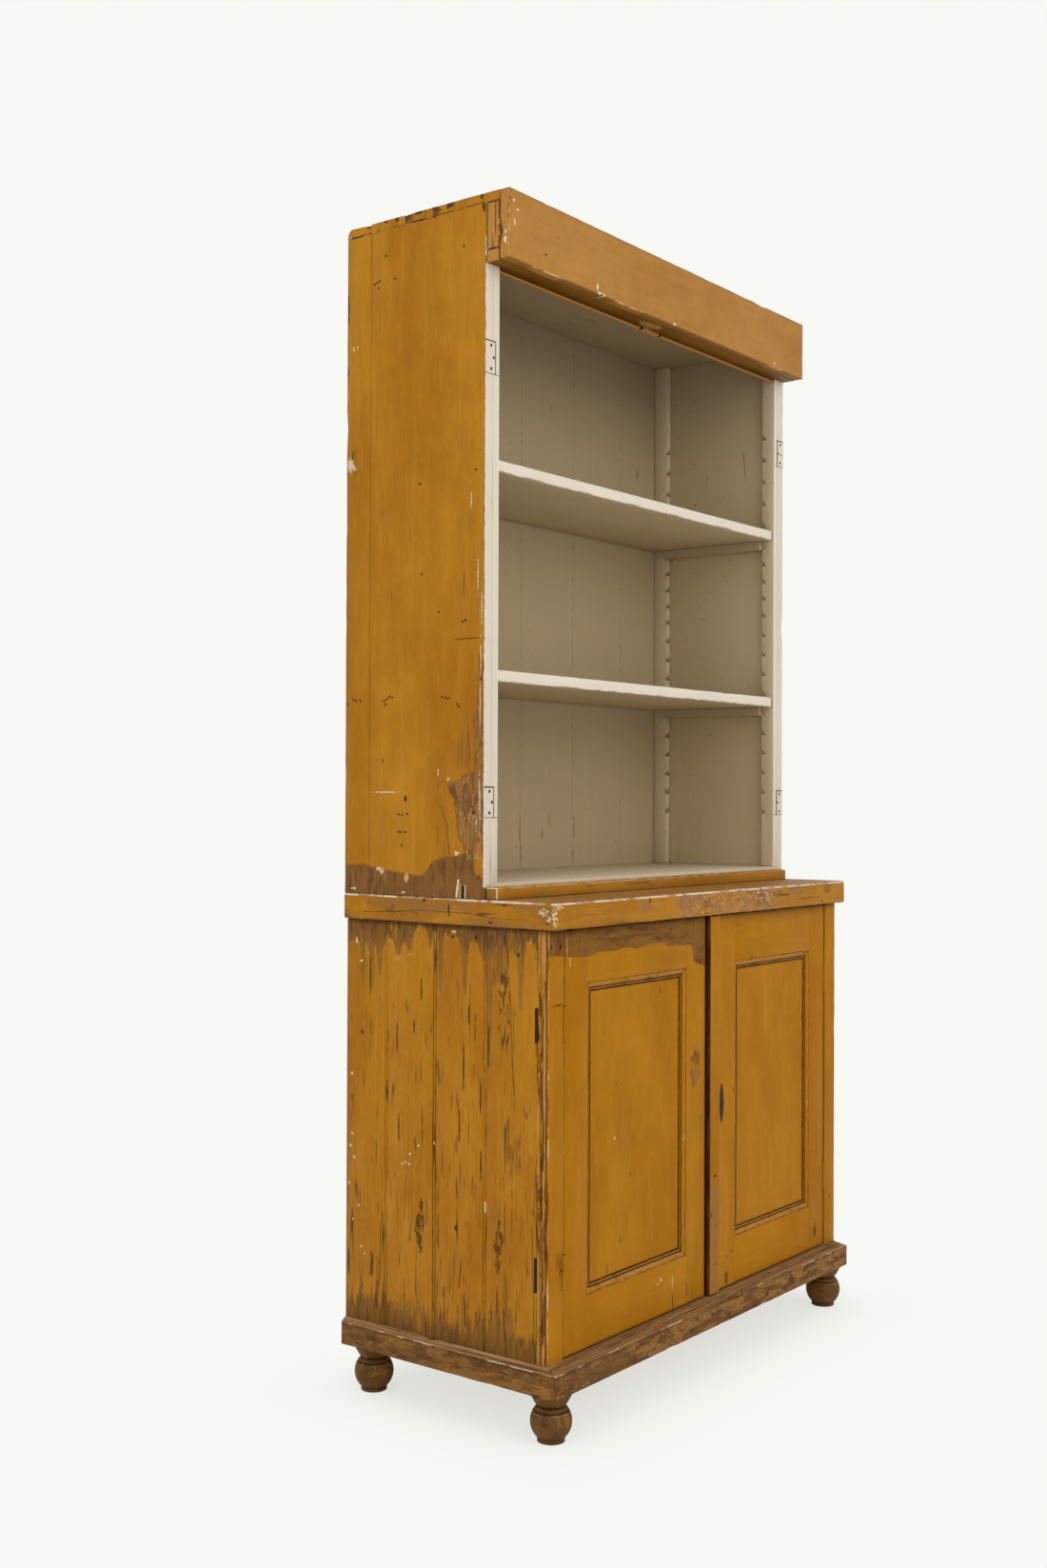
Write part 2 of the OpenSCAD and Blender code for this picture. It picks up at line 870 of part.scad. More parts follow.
module right_door_bottom_rail() {
    color(OCHRE) placed()
        door_rail(right_open, [door_low, door_rail_low]);
}

module right_door_panel() {
    color(OCHRE) placed()
        panel_space(right_open, 0);
}

module right_door_moulding() door_moulding(right_open);

// Strip with rounded front edges, nailed over the meeting edge of the right door.
module cover_batten() {
    r = batten_t / 3;
    color(OCHRE) placed()
        translate([right_meet, 0, door_low])
            linear_extrude(door_high - door_low)
                union() {
                    translate([0, -batten_t + r])
                        square([batten_w, batten_t - r]);
                    translate([r, -batten_t])
                        square([batten_w - 2 * r, batten_t]);
                    for (x = [r, batten_w - r])
                        translate([x, -batten_t + r])
                            circle(r);
                }
}

// Hinges, drawn for the right-hand side

// Place of the pin between a stile and a door with the given gap.
function pin_x(gap) = opening_half - gap / 2;

// A leaf is let in flush where the gap is smaller than the barrel, and planted in the gap otherwise.
function is_planted(gap) = gap >= barrel_d;

// Limits in z of the knuckles: the outer two are the fixed leaf's, and the middle one is the door's.
function knuckle(z, i) = [
    z + i * knuckle_h + (i == 0 ? 0 : slide_clear / 2),
    z + (i + 1) * knuckle_h - (i == 2 ? 0 : slide_clear / 2)
];

module barrel(gap, z, clear) {
    translate([pin_x(gap), 0, z[0]])
        cylinder(d = barrel_d + 2 * clear, h = z[1] - z[0]);
}

module pin_bore(gap, z) {
    translate([pin_x(gap), 0, z - cut])
        cylinder(d = pin_d + 2 * pin_clear, h = hinge_h + 2 * cut);
}

// The plate of a fixed leaf: along the stile's inner edge, then behind the stile to the side plane.
module fixed_leaf_plates(gap, z) {
    x = opening_half - (is_planted(gap) ? leaf_t : 0);
    slab([x, x + leaf_t], [0, stile_t], [z, z + hinge_h]);
    slab([x, base_half], [stile_t - leaf_t, stile_t], [z, z + hinge_h]);
}

module fixed_leaf(gap, z) {
    difference() {
        union() {
            difference() {
                fixed_leaf_plates(gap, z);
                barrel(gap, [z - cut, z + hinge_h + cut], barrel_clear);
            }
            intersection() {
                fixed_leaf_plates(gap, z);
                for (i = [0, 2])
                    slab([0, base_half], [0, stile_t], knuckle(z, i));
            }
            for (i = [0, 2])
                barrel(gap, knuckle(z, i), 0);
        }
        pin_bore(gap, z);
    }
}

// The plate of a moving leaf on the door's edge.
module door_leaf_plate(gap, z) {
    x = opening_half - gap - (is_planted(gap) ? 0 : leaf_t);
    slab([x, x + leaf_t], [0, door_t], [z, z + hinge_h]);
}

module door_leaf(gap, z) {
    difference() {
        union() {
            difference() {
                door_leaf_plate(gap, z);
                barrel(gap, [z - cut, z + hinge_h + cut], barrel_clear);
            }
            intersection() {
                door_leaf_plate(gap, z);
                slab([0, base_half], [0, door_t], knuckle(z, 1));
            }
            barrel(gap, knuckle(z, 1), 0);
        }
        pin_bore(gap, z);
    }
}

// Room for the barrels in the edges beside the gap.
module hinge_recess(gap) {
    for (z = [hinge_low_z, hinge_high_z])
        barrel(gap, [z - cut, z + hinge_h + cut], barrel_clear);
}

module door_hinge_recess(gap) {
    hinge_recess(gap);
    for (z = [hinge_low_z, hinge_high_z])
        door_leaf_plate(gap, z);
}

module hinge_fixed_leaves() {
    color(IRON) placed()
        for (right = [false, true], z = [hinge_low_z, hinge_high_z])
            on_side(right)
                fixed_leaf(right ? right_gap : left_gap, z);
}

module door_hinge_leaves(right) {
    color(IRON) placed() on_side(right)
        for (z = [hinge_low_z, hinge_high_z])
            door_leaf(right ? right_gap : left_gap, z);
}

module left_door_hinge_leaves() door_hinge_leaves(false);
module right_door_hinge_leaves() door_hinge_leaves(true);

module hinge_pins() {
    color(IRON) placed()
        for (right = [false, true], z = [hinge_low_z, hinge_high_z])
            on_side(right)
                translate([pin_x(right ? right_gap : left_gap), 0, z])
                    cylinder(d = pin_d, h = hinge_h);
}

// Lock of the right door

// Keyhole through the limits given in y.
module keyhole(y) {
    translate([lock_x, y[1], lock_z])
        rotate([90, 0, 0])
            linear_extrude(y[1] - y[0])
                union() {
                    circle(d = keyhole_d);
                    translate([-keyhole_slot_w / 2, -keyhole_slot_h])
                        square([keyhole_slot_w, keyhole_slot_h]);
                }
}

// Space of the lock case, let into the back and the meeting edge of the stile.
module lock_case_space(over) {
    slab(
        [right_meet - over, right_meet + lock_case_w],
        [lock_case_y, door_t + over],
        [lock_z - lock_case_h / 2, lock_z + lock_case_h / 2]
    );
}

// The bolt's own space, grown by a clearance and lengthened past the meeting edge by a reach.
module lock_bolt_space(clear, reach) {
    slab(
        [right_meet - reach, right_meet + lock_bolt_l],
        [lock_bolt_y - clear, lock_bolt_y + lock_bolt_t + clear],
        [lock_bolt_z - clear, lock_bolt_z + lock_bolt_h + clear]
    );
}

module lock_case() {
    w = lock_wall;
    color(IRON) placed()
        difference() {
            lock_case_space(0);
            slab(
                [right_meet + w, right_meet + lock_case_w - w],
                [lock_case_y + w, door_t - w],
                [lock_z - lock_case_h / 2 + w, lock_z + lock_case_h / 2 - w]
            );
            lock_bolt_space(slide_clear, cut);
            keyhole([lock_case_y - cut, lock_case_y + w + cut]);
        }
}

// Flat bolt with a notch over the keyhole, where the key turns.
module lock_bolt() {
    talon_w = 9;
    talon_h = 6;
    color(IRON) placed()
        difference() {
            lock_bolt_space(0, 0);
            slab(
                [lock_x - talon_w / 2, lock_x + talon_w / 2],
                [lock_bolt_y - cut, lock_bolt_y + lock_bolt_t + cut],
                [lock_bolt_z - cut, lock_bolt_z + talon_h]
            );
        }
}

// Narrow plate with pointed ends, bounded by two arcs.
module escutcheon() {
    arc_r = (escutcheon_h * escutcheon_h + escutcheon_w * escutcheon_w) / (4 * escutcheon_w);
    color(IRON) placed()
        difference() {
            translate([lock_x, 0, lock_z])
                rotate([90, 0, 0])
                    linear_extrude(escutcheon_t)
                        intersection_for(s = [-1, 1])
                            translate([s * (arc_r - escutcheon_w / 2), 0])
                                circle(arc_r, $fn = 240);
            keyhole([-escutcheon_t - cut, cut]);
        }
}

// Slide bolts at the back of the left door

// Hole for a slide bolt, between the limits given in z.
module slide_bolt_hole(z) {
    half = slide_bolt_w / 2 + slide_clear;
    slab(
        [slide_bolt_x - half, slide_bolt_x + half],
        [stile_t - cut, slide_bolt_y + slide_bolt_t + slide_clear],
        z
    );
}

// A bolt whose end is at z = 0 and which runs down from there, with its knob.
module slide_bolt() {
    translate([-slide_bolt_w / 2, 0, -slide_bolt_l])
        cube([slide_bolt_w, slide_bolt_t, slide_bolt_l]);
    translate([0, slide_bolt_t + knob_h, -(slide_bolt_l + slide_bolt_travel) / 2])
        rotate([90, 0, 0])
            cylinder(d = knob_d, h = knob_h + cut);
}

// Plate on the door and two straps over the bolt, with the bolt's end at z = 0.
module slide_bolt_guide() {
    bolt_half = slide_bolt_w / 2 + slide_clear;
    strap_half = bolt_half + guide_t;
    strap_top = slide_bolt_t + slide_clear + guide_t;
    plate_z = [-guide_end - guide_l, -guide_end];
    slab([-guide_w / 2, guide_w / 2], [-guide_t - slide_clear, -slide_clear], plate_z);
    for (z = [plate_z[0] + strap_l, plate_z[1] - 2 * strap_l])
        difference() {
            slab([-strap_half, strap_half], [-slide_clear - guide_t, strap_top], [z, z + strap_l]);
            slab(
                [-bolt_half, bolt_half],
                [-slide_clear, slide_bolt_t + slide_clear],
                [z - cut, z + strap_l + cut]
            );
        }
}

// Places of the two slide bolts: the upper one points up, and the lower one points down.
module at_top_bolt() {
    placed()
        translate([slide_bolt_x, slide_bolt_y, top_bolt_z])
            children();
}

module at_low_bolt() {
    placed()
        translate([slide_bolt_x, slide_bolt_y, low_bolt_z])
            mirror([0, 0, 1])
                children();
}

module slide_bolt_top() {
    color(IRON) at_top_bolt()
        slide_bolt();
}

module slide_bolt_bottom() {
    color(IRON) at_low_bolt()
        slide_bolt();
}

module slide_bolt_guides() {
    color(IRON) {
        at_top_bolt()
            slide_bolt_guide();
        at_low_bolt()
            slide_bolt_guide();
    }
}

// Shelf section

// Outline in y and z of the pins on one end of the top board.
module dovetail_pins() {
    w = dovetail_pin_w / 2;
    s = dovetail_spread;
    intersection() {
        for (i = [0:dovetail_n])
            translate([upper_front + i * dovetail_pitch, upper_top_z])
                polygon([[-w - s, 0], [w + s, 0], [w, upper_top_t], [-w, upper_top_t]]);
        translate([upper_front, upper_top_z])
            square([upper_d, upper_top_t]);
    }
}

// What the rounded edge at the back of the top takes away.
module top_back_waste() {
    r = upper_round;
    along_x([-upper_half - cut, upper_half + cut])
        difference() {
            translate([base_d - r, top_z - r])
                square(r + cut);
            translate([base_d - r, top_z - r])
                circle(r);
        }
}

// Side with its dovetails at the top, the joint of its two boards, and the pockets of the old hinges.
module upper_side(right) {
    groove = 0.8;
    joint_y = base_d - side_joint_inset;
    color(OCHRE) placed() on_side(right)
        difference() {
            slab([upper_inner, upper_half], [upper_front, base_d], [worktop_top, top_z]);
            along_x([upper_inner - cut, upper_half + cut])
                dovetail_pins();
            top_back_waste();
            slab(
                [upper_half - groove, upper_half + cut],
                [joint_y, joint_y + groove],
                [worktop_top - cut, top_z + cut]
            );
            old_leaf_plates();
        }
}

module upper_side_left() upper_side(false);
module upper_side_right() upper_side(true);

module upper_top() {
    color(OCHRE) placed()
        difference() {
            union() {
                slab([-upper_inner, upper_inner], [upper_front, base_d], [upper_top_z, top_z]);
                slab([-upper_half, upper_half], [fascia_back, upper_front], [upper_top_z, top_z]);
                both_sides()
                    along_x([upper_inner, upper_half])
                        dovetail_pins();
            }
            top_back_waste();
        }
}

// Ceiling board that rests on the racks, from the head rail to the back boards.
module upper_ceiling() {
    color(CREAM) placed()
        slab(
            [-upper_inner, upper_inner],
            [upper_front + head_rail_t, upper_back_y],
            [ceiling_z, ceiling_z + ceiling_t]
        );
}

module upper_floor() {
    color(CREAM) placed()
        slab([-upper_inner, upper_inner], [upper_front, upper_back_y], [worktop_top, upper_floor_z]);
}

module upper_back() {
    pitch = upper_back_board_w;
    left_n = floor((upper_inner - upper_back_first - narrowest_board) / pitch);
    right_n = floor((upper_inner + upper_back_first - narrowest_board) / pitch);
    joints = [for (i = [-left_n:right_n]) i * pitch - upper_back_first];
    color(CREAM) placed()
        board_row(-upper_inner, upper_inner, joints, [upper_back_y, base_d], [worktop_top, upper_top_z]);
}

module fascia_board() {
    color(FASCIA_OCHRE) placed()
        slab([-upper_half, upper_half], [fascia_y, fascia_back], [soffit_z, top_z]);
}

module fascia_returns() {
    color(OCHRE) placed() both_sides()
        slab([upper_inner, upper_half], [fascia_back, upper_front], [soffit_z + soffit_t, upper_top_z]);
}

module soffit_strip() {
    color(OCHRE) placed()
        slab([-upper_half, upper_half], [fascia_back, upper_front], [soffit_z, soffit_z + soffit_t]);
}

module head_rail() {
    step_z = head_rail_z + head_rail_drop / 2;
    color(OCHRE) placed()
        difference() {
            slab(
                [-rack_inner, rack_inner],
                [upper_front, upper_front + head_rail_t],
                [head_rail_z, upper_top_z]
            );
            slab(
                [-rack_inner - cut, rack_inner + cut],
                [upper_front - cut, upper_front + head_rail_step],
                [step_z, soffit_z]
            );
            slab(
                [-rack_inner - cut, rack_inner + cut],
                [upper_front + head_rail_lip, upper_front + head_rail_t + cut],
                [head_rail_z - cut, soffit_z]
            );
            slab(catch_x, [upper_front - cut, upper_front + catch_t], [head_rail_z - cut, soffit_z]);
        }
}

// Block let into the rail, with two slots that took the catches of the upper doors.
module catch_block() {
    slot_end = 2;
    color(OCHRE) placed()
        difference() {
            slab(catch_x, [upper_front, upper_front + catch_t], [head_rail_z, soffit_z]);
            for (x = [catch_x[0] + catch_slot_inset, catch_x[1] - catch_slot_inset])
                slab(
                    [x - catch_slot_w / 2, x + catch_slot_w / 2],
                    [upper_front - cut, upper_front + catch_t / 2],
                    [head_rail_z - cut, soffit_z - slot_end]
                );
        }
}

module foot_rail() {
    color(OCHRE) placed()
        slab(
            [-upper_half + foot_rail_left, upper_half - foot_rail_right],
            [upper_front - foot_rail_t, upper_front],
            [worktop_top, worktop_top + foot_rail_h]
        );
}

// Limits in z of the lower and the upper old hinge leaves.
function old_leaf_z() = [
    [upper_floor_z + old_leaf_low_rise, upper_floor_z + old_leaf_low_rise + old_leaf_low_h],
    [upper_floor_z + old_leaf_high_rise, upper_floor_z + old_leaf_high_rise + old_leaf_high_h]
];

// Old hinge leaves on the right-hand front edge, as solid plates that stand out a little.
module old_leaf_plates() {
    proud = old_leaf_t / 4;
    for (z = old_leaf_z())
        slab(
            [upper_half - old_leaf_w, upper_half],
            [upper_front - proud, upper_front - proud + old_leaf_t],
            z
        );
}

// The leaves with three screw holes each, the middle one nearer to the inner edge.
module old_hinge_leaves() {
    outer_x = upper_half - 0.5 * old_leaf_w;
    middle_x = upper_half - 0.76 * old_leaf_w;
    spread = 0.35;
    color(CREAM) placed() both_sides()
        difference() {
            old_leaf_plates();
            for (z = old_leaf_z(), i = [-1, 0, 1])
                translate([
                    i == 0 ? middle_x : outer_x,
                    upper_front + old_leaf_t,
                    (z[0] + z[1]) / 2 + i * spread * (z[1] - z[0])
                ])
                    rotate([90, 0, 0])
                        cylinder(d = old_leaf_hole_d, h = 2 * old_leaf_t);
        }
}

// Racks, bearers and shelves

// Height of a notch's ledge above the floor of the shelf section.
function notch_z(i) =
    notch_rise
    + low_pitch * min(i, low_run_n)
    + mid_pitch * min(max(i - low_run_n, 0), mid_run_n)
    + high_pitch * max(i - low_run_n - mid_run_n, 0);

// Outline of a notch with its ledge at 0, cut from the rack's edge at x = 0 towards -x, less a clearance.
module notch(clear) {
    difference() {
        translate([-notch_d + clear, 0])
            square([notch_d + cut, notch_h]);
        translate([-notch_nose_r, notch_h])
            circle(notch_nose_r + clear, $fn = 96);
    }
}

// Outline of a rack of depth d, with its plain edge at x = -d and its notches at x = 0.
module rack_section(d) {
    difference() {
        translate([-d, 0])
            square([d, ceiling_z - upper_floor_z]);
        for (i = [0:notch_n])
            translate([0, notch_z(i)])
                notch(0);
    }
}

module front_racks() {
    color(CREAM) placed() both_sides()
        difference() {
            along_x([rack_inner, upper_inner])
                translate([front_tip, upper_floor_z])
                    rack_section(front_rack_d);
            old_leaf_plates();
        }
}

module back_racks() {
    color(CREAM) placed() both_sides()
        along_x([rack_inner, upper_inner])
            translate([back_tip, upper_floor_z])
                mirror([1, 0])
                    rack_section(back_rack_d);
}

// Toe of a bearer, shaped to its notch, with the notched edge at x = 0.
module bearer_toe() {
    intersection() {
        notch(slide_clear);
        translate([-notch_d, 0])
            square([notch_d + cut, bearer_h]);
    }
}

// Two bearers on the notches with the given number.
module bearers(i) {
    z = upper_floor_z + notch_z(i);
    color(CREAM) placed() both_sides() {
        slab(
            [upper_inner - bearer_w, upper_inner],
            [front_tip + slide_clear, back_tip - slide_clear],
            [z, z + bearer_h]
        );
        along_x([rack_inner, upper_inner]) {
            translate([front_tip, z])
                bearer_toe();
            translate([back_tip, z])
                mirror([1, 0])
                    bearer_toe();
        }
    }
}

// Loose board on the bearers, which can be drawn forward.
module shelf(i) {
    z = upper_floor_z + notch_z(i) + bearer_h + slide_clear;
    color(CREAM) placed()
        slab(
            [-rack_inner + shelf_left_gap, rack_inner - shelf_right_gap],
            [upper_front + shelf_setback, upper_back_y - shelf_back_gap],
            [z, z + shelf_t]
        );
}

module lower_shelf_bearers() bearers(low_shelf_notch);
module upper_shelf_bearers() bearers(high_shelf_notch);
module lower_shelf() shelf(low_shelf_notch);
module upper_shelf() shelf(high_shelf_notch);

foot_front_left();
foot_front_right();
foot_rear_left();
foot_rear_right();
foot_blocks();
plinth_front();
plinth_left();
plinth_right();
base_floor();
base_side_left();
base_side_right();
corner_stile_left();
corner_stile_right();
base_top_rails();
base_back();
base_shelf();
base_shelf_cleats();
worktop();
left_door_hinge_stile();
left_door_meeting_stile();
left_door_top_rail();
left_door_bottom_rail();
left_door_panel();
left_door_moulding();
right_door_hinge_stile();
right_door_meeting_stile();
right_door_top_rail();
right_door_bottom_rail();
right_door_panel();
right_door_moulding();
cover_batten();
escutcheon();
lock_case();
lock_bolt();
slide_bolt_top();
slide_bolt_bottom();
slide_bolt_guides();
hinge_fixed_leaves();
hinge_pins();
left_door_hinge_leaves();
right_door_hinge_leaves();
upper_side_left();
upper_side_right();
upper_top();
upper_ceiling();
upper_floor();
upper_back();
fascia_board();
fascia_returns();
soffit_strip();
head_rail();
catch_block();
foot_rail();
front_racks();
back_racks();
lower_shelf_bearers();
upper_shelf_bearers();
lower_shelf();
upper_shelf();
old_hinge_leaves();
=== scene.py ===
import json
import math

import bpy
from mathutils import Matrix, Vector, noise


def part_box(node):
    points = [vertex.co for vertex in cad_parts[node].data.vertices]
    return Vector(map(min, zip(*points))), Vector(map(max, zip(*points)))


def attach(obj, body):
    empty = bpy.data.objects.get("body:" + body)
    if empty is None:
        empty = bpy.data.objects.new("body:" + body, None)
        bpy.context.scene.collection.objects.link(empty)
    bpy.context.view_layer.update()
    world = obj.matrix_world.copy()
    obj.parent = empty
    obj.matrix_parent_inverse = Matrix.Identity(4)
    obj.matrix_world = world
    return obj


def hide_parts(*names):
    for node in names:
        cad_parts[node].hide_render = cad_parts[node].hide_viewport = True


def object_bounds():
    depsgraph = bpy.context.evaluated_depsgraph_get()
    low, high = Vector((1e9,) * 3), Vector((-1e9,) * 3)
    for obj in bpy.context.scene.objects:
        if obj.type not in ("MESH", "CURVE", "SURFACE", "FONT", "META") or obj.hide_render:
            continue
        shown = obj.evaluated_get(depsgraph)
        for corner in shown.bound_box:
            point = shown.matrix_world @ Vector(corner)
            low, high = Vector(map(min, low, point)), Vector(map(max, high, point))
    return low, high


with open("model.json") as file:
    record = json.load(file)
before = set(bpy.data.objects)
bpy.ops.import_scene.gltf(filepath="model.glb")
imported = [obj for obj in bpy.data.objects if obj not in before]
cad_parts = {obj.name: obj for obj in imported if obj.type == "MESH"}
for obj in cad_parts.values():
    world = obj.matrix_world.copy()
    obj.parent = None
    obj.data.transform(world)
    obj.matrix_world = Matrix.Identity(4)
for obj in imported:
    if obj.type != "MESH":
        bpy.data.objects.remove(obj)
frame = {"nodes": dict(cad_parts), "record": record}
cad_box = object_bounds()

# Heights and planes of the cabinet, in metres
PLINTH_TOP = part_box("plinth_front")[1][2]
WORKTOP_LOW, WORKTOP_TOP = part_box("worktop")[0][2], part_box("worktop")[1][2]
SHELVES_FRONT, CABINET_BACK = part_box("upper_side_left")[0][1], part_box("upper_side_left")[1][1]
UPPER_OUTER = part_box("upper_side_right")[1][0]
RACK_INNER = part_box("lower_shelf_bearers")[1][0] - 0.016
TOP_BOARD_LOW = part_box("upper_top")[0][2]
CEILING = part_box("upper_ceiling")[0][2]
RAIL_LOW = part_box("head_rail")[0][2]
BOARD_JOINTS = (-0.0785, 0.035, 0.1485)
HINGE_HALF, UPPER_LEAF_LOW = 0.029, 1.802
HINGE_HEIGHTS = (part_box("hinge_fixed_leaves")[0][2] + HINGE_HALF,
                 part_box("hinge_fixed_leaves")[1][2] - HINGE_HALF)
FOOT_RAIL_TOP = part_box("foot_rail")[1][2]
DOOR_FACE, PANEL_FACE, BATTEN_FACE = -0.217, -0.210, -0.223
WORKTOP_FACE, WORKTOP_END = -0.237, 0.523
FASCIA_FACE, FASCIA_END = -0.133, 0.520
BACK_FACE = 0.229


# Colours are written as they look on the cabinet, from 0 to 255

def tone(red, green, blue):
    def straight(value):
        value = value / 255
        return value / 12.92 if value <= 0.04045 else ((value + 0.055) / 1.055) ** 2.4
    return (straight(red), straight(green), straight(blue), 1.0)


OCHRES = (tone(174, 117, 18), tone(160, 102, 4), tone(188, 136, 52))
DOOR_OCHRES = (tone(173, 115, 14), tone(163, 104, 4), tone(186, 132, 44))
FASCIA_OCHRES = (tone(174, 122, 54), tone(165, 112, 42), tone(184, 134, 70))
# Painted shade: the ochre paint darkened for the soffit and head rail, which are in shade.
SHADED_SOFFIT_BROWNS = (tone(132, 86, 14), tone(106, 68, 8), tone(156, 106, 36))
FEET_BROWNS = (tone(108, 72, 26), tone(84, 54, 17), tone(136, 96, 42))
PLINTH_OCHRES = (tone(150, 102, 40), tone(126, 84, 32), tone(176, 126, 62))
VARNISH = tone(124, 83, 38)
DARK_VARNISH = tone(88, 57, 26)
WORN_WOOD = tone(164, 116, 62)
CRACK = tone(52, 32, 15)
GROUND_WHITE = tone(228, 214, 190)
CREAM = tone(216, 205, 187)
# Painted light and shade: the creams from here on are copies of the one cream paint. They are darker where
# shade falls inside the shelves, darkest under the ceiling, less dark on the right inside, floor and racks
# where more light reaches, and lighter than CREAM on the shelf edges.
SHADED_INNER_CREAM = tone(180, 161, 127)
SHADED_RIGHT_INSIDE_CREAM = tone(194, 176, 142)
SHADED_RACK_CREAM = tone(206, 189, 158)
SHADED_FLOOR_CREAM = tone(210, 194, 165)
LIT_EDGE_CREAM = tone(222, 212, 195)
SHADED_CEILING_CREAM = tone(160, 142, 110)
PINE = tone(178, 138, 90)
PINE_DARK = tone(140, 100, 60)
IRON = tone(38, 41, 41)
RUST = tone(84, 56, 38)


# Finishes

class Value:
    """A number or a mask that varies over a surface, so that marks can be written as sums and products."""

    def __init__(self, f, socket):
        self.f, self.socket = f, socket

    def __add__(self, other):
        return self.f.sum("ADD", self, other)

    def __radd__(self, other):
        return self.f.sum("ADD", other, self)

    def __sub__(self, other):
        return self.f.sum("SUBTRACT", self, other)

    def __rsub__(self, other):
        return self.f.sum("SUBTRACT", other, self)

    def __mul__(self, other):
        return self.f.sum("MULTIPLY", self, other)

    def __rmul__(self, other):
        return self.f.sum("MULTIPLY", other, self)

    def __abs__(self):
        return self.f.sum("ABSOLUTE", self)

    def rise(self, low, high, kind="SMOOTHSTEP"):
        """0 up to low, 1 from high on, and a step between. Low may be above high."""
        node = self.f.add("ShaderNodeMapRange", interpolation_type=kind, clamp=True)
        to_min, to_max = (1.0, 0.0) if low > high else (0.0, 1.0)
        for name, value in (("Value", self), ("From Min", min(low, high)), ("From Max", max(low, high)),
                            ("To Min", to_min), ("To Max", to_max)):
            self.f.join(value, node.inputs[name])
        return Value(self.f, node.outputs["Result"])

    def band(self, middle, half, soft=0.0004):
        """1 where the value is within half of the middle."""
        return abs(self - middle).rise(half + soft, half)

    def ragged(self, scale, reach):
        return self + self.f.wander(scale, reach)


